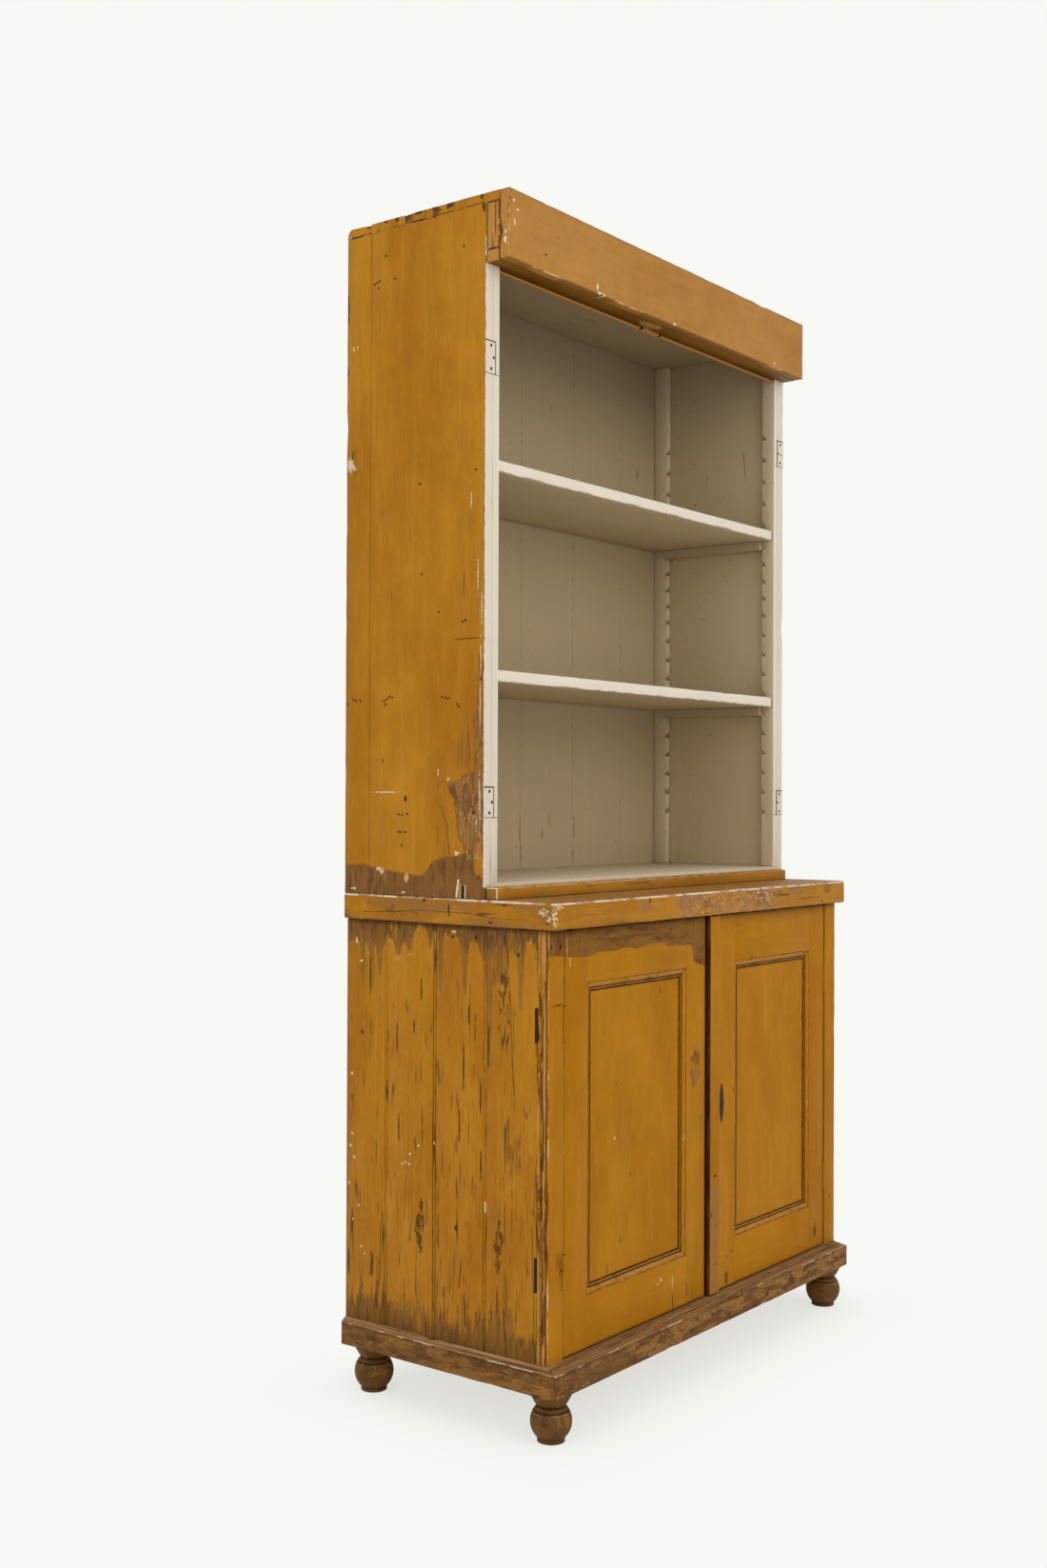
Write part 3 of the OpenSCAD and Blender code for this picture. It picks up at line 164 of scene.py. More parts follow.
class Finish:
    """A material under construction, with short names for the nodes that the finishes share."""

    def __init__(self, name):
        self.material = bpy.data.materials.new(name)
        self.material.use_nodes = True
        self.tree = self.material.node_tree
        self.tree.nodes.clear()
        output = self.add("ShaderNodeOutputMaterial")
        self.shader = self.add("ShaderNodeBsdfPrincipled")
        self.tree.links.new(self.shader.outputs["BSDF"], output.inputs["Surface"])
        self.place = self.add("ShaderNodeTexCoord").outputs["Object"]
        axes = self.add("ShaderNodeSeparateXYZ")
        self.join(self.place, axes.inputs[0])
        self.x, self.y, self.z = [Value(self, output) for output in axes.outputs]

    def add(self, kind, **settings):
        node = self.tree.nodes.new(kind)
        for key, value in settings.items():
            setattr(node, key, value)
        return node

    def join(self, value, socket):
        if isinstance(value, Value):
            value = value.socket
        if isinstance(value, bpy.types.NodeSocket):
            self.tree.links.new(value, socket)
        else:
            socket.default_value = value

    def sum(self, operation, *values):
        node = self.add("ShaderNodeMath", operation=operation)
        for value, socket in zip(values, node.inputs):
            self.join(value, socket)
        return Value(self, node.outputs[0])

    def chain(self, operation, values):
        total = values[0]
        for value in values[1:]:
            total = self.sum(operation, total, value)
        return total

    def most(self, *values):
        return self.chain("MAXIMUM", values)

    def least(self, *values):
        return self.chain("MINIMUM", values)

    def profile(self, value, points):
        """A height that follows a line of points as the value runs along it."""
        low, high = points[0][0], points[-1][0]
        bottom = min(height for _, height in points)
        reach = max(height for _, height in points) - bottom
        node = self.add("ShaderNodeFloatCurve")
        curve = node.mapping.curves[0]
        ends = [(points[0][1] - bottom) / reach, (points[-1][1] - bottom) / reach]
        curve.points[0].location = (0.0, ends[0])
        curve.points[1].location = (1.0, ends[1])
        for at, height in points[1:-1]:
            curve.points.new((at - low) / (high - low), (height - bottom) / reach)
        for point in curve.points:
            point.handle_type = "AUTO_CLAMPED"
        node.mapping.update()
        self.join(value.rise(low, high, "LINEAR"), node.inputs["Value"])
        return Value(self, node.outputs[0]) * reach + bottom

    def stretched(self, sx, sy, sz, shift=(0.0, 0.0, 0.0)):
        node = self.add("ShaderNodeMapping")
        self.join(self.place, node.inputs["Vector"])
        self.join(shift, node.inputs["Location"])
        self.join((sx, sy, sz), node.inputs["Scale"])
        return node.outputs[0]

    def along(self, grain, across, ratio, shift=0.0):
        """Coordinates for a pattern that is fine across the grain and long along it."""
        scale = {"X": (ratio, 1, 1), "Y": (1, ratio, 1), "Z": (1, 1, ratio)}[grain]
        return self.stretched(*[across * s for s in scale], shift=(shift, shift * 0.7, shift * 0.3))

    def noise(self, vector, scale=1.0, detail=3.0, rough=0.55, distortion=0.0):
        node = self.add("ShaderNodeTexNoise")
        self.join(vector, node.inputs["Vector"])
        self.join(scale, node.inputs["Scale"])
        self.join(detail, node.inputs["Detail"])
        self.join(rough, node.inputs["Roughness"])
        self.join(distortion, node.inputs["Distortion"])
        return Value(self, node.outputs[0])

    def strands(self, grain, across, ratio, shift=0.0, detail=4.0, rough=0.65, distortion=0.0):
        """An uneven pattern drawn out along the grain."""
        return self.noise(self.along(grain, across, ratio, shift), 1.0, detail, rough, distortion)

    def cloud(self, scales, shift=(0.0, 0.0, 0.0), detail=4.0, rough=0.65, distortion=0.0):
        return self.noise(self.stretched(*scales, shift), 1.0, detail, rough, distortion)

    def wander(self, scale, reach):
        """A small uneven shift, as far as reach either way."""
        return (self.noise(self.place, scale, 3.0, 0.6) - 0.5) * (reach * 3.0)

    def mix(self, amount, a, b, kind="MIX"):
        node = self.add("ShaderNodeMix", data_type="RGBA", blend_type=kind)
        self.join(amount, node.inputs[0])
        self.join(a, node.inputs[6])
        self.join(b, node.inputs[7])
        return node.outputs[2]

    def shade(self, colour, factor):
        """The colour, darker or lighter by a factor that varies."""
        node = self.add("ShaderNodeHueSaturation")
        self.join(colour, node.inputs["Color"])
        self.join(factor, node.inputs["Value"])
        return node.outputs[0]

    def spots(self, places, ragged=0.25, grain=60.0):
        """1 inside uneven spots, each with a centre and radii, and 0 outside."""
        uneven = (self.noise(self.place, grain, 3.0) - 0.5) * (ragged * 4)
        nearest = 100.0
        for centre, radii in places:
            node = self.add("ShaderNodeVectorMath", operation="MULTIPLY_ADD")
            self.join(self.place, node.inputs[0])
            self.join(tuple(1.0 / r for r in radii), node.inputs[1])
            self.join(tuple(-c / r for c, r in zip(centre, radii)), node.inputs[2])
            length = self.add("ShaderNodeVectorMath", operation="LENGTH")
            self.join(node.outputs[0], length.inputs[0])
            nearest = self.least(nearest, length.outputs["Value"])
        return (nearest + uneven).rise(1.05, 0.85)

    def flecks(self, grain, across, ratio, size, share, shift=0.0):
        """Scattered small marks, drawn out along the grain, in a share of the places that could have one."""
        node = self.add("ShaderNodeTexVoronoi", feature="F1")
        self.join(self.along(grain, across, ratio, shift), node.inputs["Vector"])
        self.join(1.0, node.inputs["Scale"])
        chance = self.add("ShaderNodeSeparateColor")
        self.join(node.outputs["Color"], chance.inputs[0])
        near = Value(self, node.outputs["Distance"]).rise(size, size * 0.55)
        return near * Value(self, chance.outputs[0]).rise(1.0 - share, 1.0 - share * 0.9)

    def cracks(self, grain, often, shift=0.0, across=34.0, thin=0.016):
        """Thin drying cracks along the grain. often runs from 0 to 1 and may vary."""
        wave = self.strands(grain, across, 0.045, shift, 2.0, 0.5)
        line = abs(wave - 0.5).rise(thin, thin * 0.35)
        patch = self.strands(grain, across * 1.2, 0.2, shift + 9.0, 2.0, 0.5)
        shown = patch + self.sum("MULTIPLY", often, 0.3)
        return line * shown.rise(0.70, 0.75)

    def arris(self, reach=0.005):
        """1 along outer edges, 0 on open faces."""
        node = self.add("ShaderNodeAmbientOcclusion", samples=8, inside=True, only_local=True)
        self.join(reach, node.inputs["Distance"])
        return Value(self, node.outputs["AO"]).rise(0.98, 0.62)

    def corner_shade(self, reach=0.012):
        """1 in inner corners and under overhangs, 0 on open faces: the mask of painted shade."""
        node = self.add("ShaderNodeAmbientOcclusion", samples=8)
        self.join(reach, node.inputs["Distance"])
        return Value(self, node.outputs["AO"]).rise(0.75, 0.25)

    def coat(self, coat):
        """Starts the finish with a coat, which is its colour, roughness and height."""
        self.colour, self.roughness, self.height = coat

    def mark(self, mask, tint, strength=1.0, depth=0.0):
        """Adds a mark of one colour, which may be cut in."""
        self.colour = self.mix(mask * strength if strength != 1.0 else mask, self.colour, tint)
        if depth:
            self.height = self.height - mask * depth

    def fade(self, factor):
        """Makes all of the coat darker or lighter."""
        self.colour = self.shade(self.colour, factor)

    def finish(self, depth=0.0006, specular=0.12):
        self.join(self.colour, self.shader.inputs["Base Color"])
        self.join(self.roughness, self.shader.inputs["Roughness"])
        self.shader.inputs["Specular IOR Level"].default_value = specular
        bump = self.add("ShaderNodeBump")
        self.join(self.height, bump.inputs["Height"])
        bump.inputs["Distance"].default_value = depth
        self.join(bump.outputs[0], self.shader.inputs["Normal"])
        return self.material


def old_paint(f, grain, tones=OCHRES, worn=0.08, edge_wear=0.35, ground=0.3, age=0.3, shift=0.0,
              varnish=None, flecks=0.1, corner_shade_amount=0.6, corner_shade_reach=0.012, strokes=0.25):
    """Worn oil paint over brown varnish, along one grain. worn, age and varnish may vary over the piece:
    worn is the share rubbed through, age the share of cracks, and varnish the places without paint."""
    base, deep, pale = tones
    cloud = f.strands(grain, 6.0, 0.35, shift, 4.0, 0.6)
    streak = f.strands(grain, 52.0, 0.075, shift, 5.0, 0.62, 0.6)
    fibre = f.strands(grain, 380.0, 0.03, shift, 3.0, 0.6)
    speck = f.cloud((150, 150, 150), (shift, 0, 0), 2.0, 0.6)
    flake = f.strands(grain, 75.0, 0.3, shift + 3.0, 4.0, 0.65, 0.4)
    mottle = f.cloud((17, 17, 17), (shift, 2, 5), 3.0, 0.6)
    grit = f.strands(grain, 430.0, 0.3, shift, 2.0, 0.6)
    stroke = f.strands(grain, 130.0, 0.09, shift + 6.0)
    colour = f.mix(cloud.rise(0.38, 0.64), base, deep)
    colour = f.mix(streak.rise(0.52, 0.78) * 0.38, colour, pale)
    colour = f.mix(streak.rise(0.50, 0.30) * 0.4, colour, deep)
    colour = f.mix(stroke.rise(0.59, 0.68) * strokes, colour, VARNISH)
    colour = f.mix(stroke.rise(0.41, 0.32) * strokes * 0.6, colour, pale)
    lightness = 0.68 + fibre * 0.12 + speck * 0.10 + mottle * 0.30 + grit * 0.12
    colour = f.shade(colour, lightness)
    level = worn + f.arris() * edge_wear
    field = streak * 0.45 + flake * 0.42 + speck * 0.13 + level
    bare = field.rise(0.985, 1.03)
    lifted = field.rise(0.95, 0.985) * (1 - bare)
    if varnish is not None:
        bare = f.most(bare, varnish)
    wood = f.mix(flake.rise(0.42, 0.75), VARNISH, DARK_VARNISH)
    wood = f.mix(stroke.rise(0.55, 0.70) * 0.45, wood, WORN_WOOD)
    wood = f.shade(wood, 0.76 + fibre * 0.26 + grit * 0.22)
    colour = f.mix(lifted * 0.35, colour, pale)
    colour = f.mix(bare, colour, wood)
    crust = f.strands(grain, 95.0, 0.6, 5.0 + shift, 3.0, 0.7)
    chalk = crust.rise(0.60, 0.66) * level.rise(0.14, 0.5) * ground
    colour = f.mix(f.sum("MINIMUM", chalk, 1.0), colour, GROUND_WHITE)
    crack = f.cracks(grain, age, shift)
    dents = f.flecks(grain, 62.0, 0.35, 0.16, flecks, shift)
    pits = f.flecks(grain, 70.0, 1.0, 0.11, flecks * 0.8, shift + 2.0)
    colour = f.mix(f.most(crack, dents, pits) * 0.72, colour, CRACK)
    # Painted shade: darker in inner corners and under overhangs.
    colour = f.mix(f.corner_shade(corner_shade_reach) * corner_shade_amount, colour, CRACK)
    f.stroke = stroke
    roughness = 0.44 + bare * 0.16 + speck * 0.12
    relief = fibre * 0.12 + streak * 0.2 + stroke * 0.3 + mottle * 0.2
    height = relief - f.most(bare, crack * 1.4, pits) * 0.5
    f.coat((colour, roughness, height))


def cream_paint(f, grain, base, rubbed=0.10, shift=0.0, corner_shade_amount=0.45):
    """Old brushed cream paint, with thin streaks of brown where it is rubbed."""
    cloud = f.cloud((4, 4, 4), (shift, 1, 0), 4.0, 0.6)
    streak = f.strands(grain, 70.0, 0.04, shift, 4.0, 0.6)
    fibre = f.strands(grain, 360.0, 0.03, shift, 3.0, 0.6)
    speck = f.cloud((190, 190, 190), (shift, 0, 0), 2.0, 0.5)
    colour = f.shade(base, 0.89 + cloud * 0.12 + fibre * 0.05 + streak * 0.05)
    nick = f.cloud((120, 120, 120), (shift, 3, 0), 3.0, 0.6)
    worn = nick * 0.8 + streak * 0.2 + f.arris(0.003) * rubbed
    colour = f.mix(worn.rise(0.66, 0.70) * 0.6, colour, VARNISH)
    crack = f.cracks(grain, 0.1, shift + 4.0)
    nicks = f.flecks(grain, 60.0, 0.5, 0.12, 0.1, shift)
    colour = f.mix(f.most(crack, nicks) * 0.5, colour, DARK_VARNISH)
    # Painted shade: darker in inner corners and under overhangs.
    colour = f.mix(f.corner_shade(0.01) * corner_shade_amount, colour, DARK_VARNISH)
    roughness = 0.5 + speck * 0.15
    height = fibre * 0.2 + streak * 0.3 + speck * 0.1 - crack * 0.4
    return colour, roughness, height


def bare_pine(f, grain, shift=0.0):
    ring = f.strands(grain, 62.0, 0.018, shift, 5.0, 0.6, 0.5)
    fibre = f.strands(grain, 300.0, 0.03, shift, 3.0, 0.6)
    cloud = f.cloud((5, 5, 5), (shift, 0, 0), 3.0, 0.6)
    colour = f.mix(ring.rise(0.42, 0.62) * 0.75, PINE, PINE_DARK)
    colour = f.shade(colour, 0.78 + fibre * 0.2 + cloud * 0.22)
    colour = f.mix(f.cracks(grain, 0.15, shift) * 0.6, colour, CRACK)
    # Painted shade: darker in inner corners and under overhangs.
    colour = f.mix(f.corner_shade(0.02) * 0.5, colour, DARK_VARNISH)
    return colour, 0.75, ring * 0.4 + fibre * 0.4


def in_metres(rows):
    return [tuple(value / 1000 for value in row) for row in rows]


# Upper edge of the varnish band along the foot of the shelf section, as (y, z)
FOOT_BAND = in_metres([(-84, 925), (-72, 949), (-62, 968), (-45, 977), (-24, 972), (-2, 970), (24, 964),
                       (46, 947), (63, 936), (108, 940), (154, 945), (200, 951), (242, 950)])

# Lower edge of the varnish under the worktop on the sides of the base, as (y, z)
SIDE_DRIPS = in_metres([(-215, 770), (-192, 817), (-177, 835), (-163, 783), (-158, 719), (-153, 767),
                        (-139, 820), (-124, 757), (-111, 764), (-99, 764), (-91, 620), (-84, 762), (-67, 814),
                        (-56, 829), (-45, 815), (-35, 735), (-30, 780), (-22, 834), (-3, 840), (12, 832),
                        (20, 735), (26, 829), (34, 840), (42, 812), (52, 846), (70, 846), (81, 831), (92, 800),
                        (104, 818), (117, 792), (135, 823), (153, 810), (163, 758), (174, 804), (181, 724),
                        (188, 796), (198, 806), (204, 732), (212, 812), (245, 817)])

# Lower edge of the varnish under the worktop on the left door, as (x, z)
DOOR_BAND = in_metres([(-512, 812), (-450, 806), (-408, 803), (-351, 809), (-312, 807), (-288, 811),
                       (-252, 807), (-227, 810), (-175, 812), (-142, 803), (-71, 801), (-63, 790), (-57, 770),
                       (-21, 758)])


# Rear edge of the patch worn to the varnish at the front of the left side, as (z, y)
PATCH_EDGE = in_metres([(975, -44), (993.6, -38.4), (1004.9, -29.8), (1021.2, -25.8), (1037.7, -23.2),
                        (1057.4, -18.8), (1070.5, -16.6), (1083.7, -9.2), (1093.6, -5.7), (1103.4, -22.8),
                        (1108.3, -35.6), (1115.8, -48.3), (1121.2, -67.2), (1140, -74), (1180, -78)])


def on_front(face, places, *size, deep=0.02):
    """Spots on a front face, from x, z, half height and half width in millimetres.
    What is the same for all of them comes last, after the list."""
    rows = in_metres((*place, *size) for place in places)
    return [((x, face, z), (wide, deep, tall)) for x, z, tall, wide in rows]


def on_side(face, places, *size, deep=0.02):
    """The same on a side face, from y, z, half height and half width."""
    rows = in_metres((*place, *size) for place in places)
    return [((face, y, z), (deep, wide, tall)) for y, z, tall, wide in rows]


def front_patch(f, face):
    """The patch worn to the varnish at the front of the left side: itself, its rim, the greyed wood in it,
    and the islands of paint left between it and the band along the foot."""
    behind = (f.y - f.profile(f.z, PATCH_EDGE)).ragged(70, 0.005)
    heights = f.z.rise(0.965, 0.972) * f.z.ragged(40, 0.02).rise(1.176, 1.17)
    patch = behind.rise(0.0006, -0.0006) * heights
    patch_rim = behind.band(0.001, 0.0007, 0.0006) * heights
    grey = f.strands("Z", 60, 0.3, 4, 4, 0.65, 0.5)
    islands = f.spots(on_side(face, [(-70, 966, 24, 10), (-27, 982, 9, 12), (-74, 990, 10, 6)], deep=0.04),
                      ragged=0.25, grain=70)
    return patch, patch_rim, grey, islands


def patch_wear(f, face, patch, patch_rim, grey):
    """Scratches in the worn patch, and strokes and scrapes around and above it."""
    f.mark(patch, tone(158, 110, 54), 0.45)
    f.mark(patch * f.stroke.rise(0.5, 0.6), tone(160, 112, 60), 0.5)
    f.mark(patch * grey.rise(0.52, 0.6), DARK_VARNISH, 0.7)
    scraped = f.strands("Z", 160, 0.35, 7, 3, 0.6, 0.5)
    f.mark(patch * scraped.rise(0.58, 0.64), tone(186, 148, 100), 0.6)
    f.mark(patch_rim, DARK_VARNISH, 0.75)
    worn_line = f.y - f.profile(f.z, [(0.97, -0.007), (0.99, -0.004), (1.024, 0.0004), (1.05, 0.01),
                                      (1.0837, 0.024), (1.1, 0.014), (1.11, -0.004)])
    worn_line = worn_line.ragged(60, 0.004).band(0, 0.0016, 0.0008)
    worn_line = worn_line * f.z.rise(0.97, 0.975) * f.z.rise(1.11, 1.104)
    f.mark(worn_line * grey.rise(0.38, 0.46), VARNISH, 0.9, 0.3)
    strokes = f.spots(on_side(face, [(-26, 1150, 30), (-34, 1160, 34), (-43, 1150, 26), (-49, 1170, 30),
                                     (-60, 1185, 36), (-68, 1230, 50), (20, 1010, 24), (4, 985, 22)], 1.6,
                              deep=0.04),
                      ragged=0.35, grain=30)
    f.mark(strokes, VARNISH, 0.8, 0.3)
    strip = (f.y.ragged(30, 0.006).rise(-0.058, -0.068) * f.z.rise(1.1, 1.13)
             * f.z.ragged(12, 0.06).rise(1.27, 1.2))
    f.mark(strip * grey.rise(0.34, 0.46), tone(150, 102, 48), 0.85)
    f.mark(strip * scraped.rise(0.52, 0.58), tone(96, 62, 26), 0.75)
    scratchy = (f.strands("Z", 130, 0.1, 17).rise(0.5, 0.56) * f.y.ragged(24, 0.01).rise(-0.03, -0.048)
                * f.z.rise(1.09, 1.14) * f.z.ragged(14, 0.05).rise(1.29, 1.22))
    f.mark(scratchy, tone(120, 78, 30), 0.65, 0.3)


def left_side_marks(f, face):
    """Nail holes and dents, white ground where paint has chipped, and two flakes of bare wood at the foot."""
    dents = on_side(face, [(222, 1251), (216, 1249), (206, 1249), (236, 1243), (148, 1246), (141, 1250),
                           (135, 1254), (128, 1252), (144, 1240), (12, 1249), (5, 1248), (-2, 1246),
                           (-26, 1232), (-22.5, 1236), (60, 1467), (20, 1398), (-40, 1380), (-34, 1378),
                           (112, 1044), (104, 1043), (91.5, 1044.5), (112, 1013), (106, 1013), (96, 1013),
                           (-58, 1048.5), (104, 989), (175, 1999), (169, 2001), (163, 2003), (166, 1991),
                           (126, 2001), (-62, 1638), (65, 1627), (-33, 2028), (148, 2046)], 2.4, 2.6)
    dents += on_side(face, [(95.5, 1072, 6, 3.5), (150, 1139, 5, 1.4), (-45, 1348, 0.9, 32),
                            (-60, 1048.5, 3, 3), (241, 1965, 30, 4), (241, 1850, 12, 3)])
    f.mark(f.spots(dents, ragged=0.4, grain=300), CRACK, 0.9, 0.4)
    pale = on_side(face, [(141, 1083.6, 1.1, 31), (233, 1679, 11, 9), (222, 1672, 4, 5), (216, 1892, 2, 2.6),
                          (226, 1890, 4, 1.8), (160, 947, 2.4, 5), (152, 941, 5, 2.2), (221, 909, 1.6, 7),
                          (99, 906, 1.6, 5), (-22, 978, 4, 4), (20, 1119, 6, 1.4), (-3, 1106, 2, 4)])
    pale += on_side(face, [(-68, 1454, 30), (-74.5, 1315, 40), (-73.5, 1234, 40), (-72.5, 1087, 30),
                           (-74.5, 1060, 25), (-66, 1030, 12), (-52, 1585, 14), (-76, 1400, 30)], 1)
    f.mark(f.spots(pale, ragged=0.9, grain=260), GROUND_WHITE, 0.65, -0.3)
    leaf = f.spots(on_side(face, [(92.4, 932, 8.5, 5.5), (152, 943.5, 4, 7)]), 0.5, 110)
    f.mark(leaf, tone(208, 164, 98), 0.8, -0.3)


def saw_cut(f):
    """A small notch sawn in the foot of the left side, white at its rims."""
    notch = f.y.band(-0.032, 0.011) * f.z.band(0.917, 0.016)
    slanted = f.y + (f.z - 0.917) * 0.16
    rim = f.most(slanted.band(-0.0245, 0.0018), f.y.band(-0.0425, 0.0012) * f.z.rise(0.925, 0.922)) * notch
    f.mark(rim, GROUND_WHITE, 0.85)
    f.mark(f.y.band(-0.0372, 0.0036) * f.z.band(0.91, 0.0115), CRACK, 0.95, 1)
    f.mark(f.y.band(-0.03, 0.003) * f.z.band(0.911, 0.015), tone(176, 138, 88), 0.7)


def top_joints(f, face):
    """The gauge line under the top board, and gaps and rubbed paint round its dovetails."""
    gauge = f.z.ragged(30, 0.0006).band(TOP_BOARD_LOW + 0.0012, 0.0007)
    f.mark(gauge * f.noise(f.place, 55, 2).rise(0.4, 0.48), CRACK, 0.85, 0.6)
    gaps = f.spots(on_side(face, [(108, 2106, 5, 18), (98, 2101, 6, 11), (38, 2105, 6, 17), (33, 2099, 9, 8),
                                  (-2, 2105, 7, 9), (-76, 2106, 6, 10), (-77.5, 2088, 8, 4.5),
                                  (222, 2093.5, 2, 18), (190, 2108, 3, 8), (150, 2108, 3, 6), (70, 2108, 3, 8),
                                  (65, 2093.5, 2, 20)], deep=0.04),
                   ragged=0.5, grain=130)
    f.mark(gaps, tone(60, 42, 26), 0.9, 0.8)
    shabby = f.z.rise(2.086, 2.106) * f.cloud((50, 50, 50)).rise(0.5, 0.6)
    f.mark(shabby, VARNISH, 0.6)


def cream_inside(f, left):
    """Cream on the front edge, lapping onto the outside; inside, painted shade: darker cream, darker still
    towards the ceiling.
    """
    ragged = f.wander(70, 0.0016)
    at_front = f.y.rise(SHELVES_FRONT + 0.005, SHELVES_FRONT + 0.004)
    outer_face = (abs(f.x) + (1 - at_front) * 0.006).rise(UPPER_OUTER - 0.0016, UPPER_OUTER - 0.0009)
    lapped = (f.y + ragged).rise(SHELVES_FRONT + 0.003, SHELVES_FRONT + 0.0015) * f.z.rise(1.989, 1.987)
    outside = f.most(outer_face * (1 - lapped), f.y.rise(CABINET_BACK - 0.003, CABINET_BACK - 0.001),
                     f.z.rise(2.1075, 2.109), at_front * f.z.rise(FOOT_RAIL_TOP + 0.001, FOOT_RAIL_TOP - 0.001))
    # Painted shade: the inside in a darker copy of the cream.
    tint = f.mix(f.y.rise(SHELVES_FRONT + 0.003, SHELVES_FRONT + 0.006), CREAM,
                 SHADED_INNER_CREAM if left else SHADED_RIGHT_INSIDE_CREAM)
    cream = cream_paint(f, "Z", tint, 0.1)[0]
    # Painted shade: darker towards the ceiling.
    ceiling_shade = f.y.rise(SHELVES_FRONT + 0.01, SHELVES_FRONT + 0.03) * f.z.rise(1.8, CEILING, "LINEAR")
    cream = f.shade(cream, 1 - ceiling_shade * 0.25)
    lap_line = outer_face * (f.y + ragged).band(SHELVES_FRONT + 0.003, 0.0004, 0.0006)
    f.mark(lap_line, DARK_VARNISH, 0.5)
    f.colour = f.mix(outside, cream, f.colour)


def upper_side_finish(left):
    """Ochre outside, cream on the front edge and inside, with a brown band along the foot."""
    f = Finish("upper_side_paint_" + ("left" if left else "right"))
    face = -UPPER_OUTER if left else UPPER_OUTER
    over_band = (f.z - f.profile(f.y, FOOT_BAND)).ragged(45, 0.0025)
    stripped = over_band.rise(0.0008, -0.0008)
    if left:
        patch, patch_rim, grey, islands = front_patch(f, face)
        stripped = f.most(stripped, patch * grey.rise(0.33, 0.38)) * (1 - islands)
    front = f.y.rise(-0.035, -0.083)
    worn = 0.05 + front * 0.13
    old_paint(f, "Z", worn=worn, age=0.05 + front * 0.5, varnish=stripped, flecks=0.06,
              strokes=0.2 + front * 0.4)
    rim = over_band.band(0.0012, 0.0005, 0.0006)
    f.mark(rim, DARK_VARNISH, 0.6)
    clouded = f.cloud((34, 34, 20), (3, 0, 0), 4, 0.6)
    dabs = f.cloud((90, 90, 40), (7, 0, 0), 3, 0.6)
    f.fade(0.84 + clouded * 0.2 + dabs * 0.12)
    nicks = f.flecks("Z", 120, 0.4, 0.15, 0.05, 41)
    f.mark(nicks, DARK_VARNISH, 0.7, 0.3)
    if left:
        patch_wear(f, face, patch, patch_rim, grey)
        left_side_marks(f, face)
        saw_cut(f)
    top_joints(f, face)
    old_edge = f.y.ragged(25, 0.002).rise(CABINET_BACK - 0.004, CABINET_BACK - 0.0005)
    f.mark(old_edge, VARNISH, 0.6)
    cream_inside(f, left)
    return f.finish()


def base_side_marks(f):
    """Nail holes, slits, knots, hinge slots and white chips of the left side of the base."""
    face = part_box("base_side_left")[0][0]
    nails = on_side(face, [(-9, 832.6), (-60, 834), (-153, 810), (-18, 330), (205, 650)], 4.2, 3.2)
    slits = on_side(face, [(120, 646, 28), (115, 486, 26), (185, 752, 36), (-34, 611, 45), (-88.5, 649, 35),
                           (-72, 560, 30), (80, 668, 12), (143, 548, 20), (-73, 445, 30), (-25, 505, 30),
                           (63, 735, 20), (-45, 700, 14)], 1.7)
    f.mark(f.spots(nails + slits, ragged=0.4, grain=80), CRACK, 0.85, 0.6)
    fibres = f.spots(on_side(face, [(-123, 708, 75, 14)], deep=0.04), 0.3, 50)
    f.mark(fibres * f.strands("Z", 210, 0.25, 6, 3, 0.55).rise(0.5, 0.56), CRACK, 0.75, 0.4)
    for y, z in ((0.064, 0.325), (-0.111, 0.32)):
        ring = f.cloud((170, 170, 60), (0, 0, 0), 3, 0.6, 0.8)
        knot = f.spots([((face, y, z), (0.04, 0.011, 0.024)),
                        ((face, y - 0.003, z + 0.03), (0.04, 0.004, 0.014)),
                        ((face, y, z - 0.035), (0.04, 0.005, 0.022))], 0.35, 60)
        f.mark(knot * ring.rise(0.44, 0.52), CRACK, 0.8, 0.5)
    pale = on_side(face, [(229, 572), (228, 463), (232, 441), (222, 420), (68, 460), (88, 443), (98, 428),
                          (106, 424), (90, 426), (32, 470), (-83, 382), (205, 262), (211, 335), (196, 250),
                          (235, 372), (225, 308)], 2.6, 1.8)
    slots = f.y.band(-0.1905, 0.0024) * f.most(*[f.z.band(z, HINGE_HALF) for z in HINGE_HEIGHTS])
    f.mark(slots, tone(26, 18, 12), 0.95, 0.6)
    pale += on_side(face, [(219, 815, 6, 2), (-12, 842, 3, 5), (207, 778, 2, 4), (-84, 375, 8, 2)])
    f.mark(f.spots(pale, ragged=0.45, grain=190), GROUND_WHITE, 0.8)


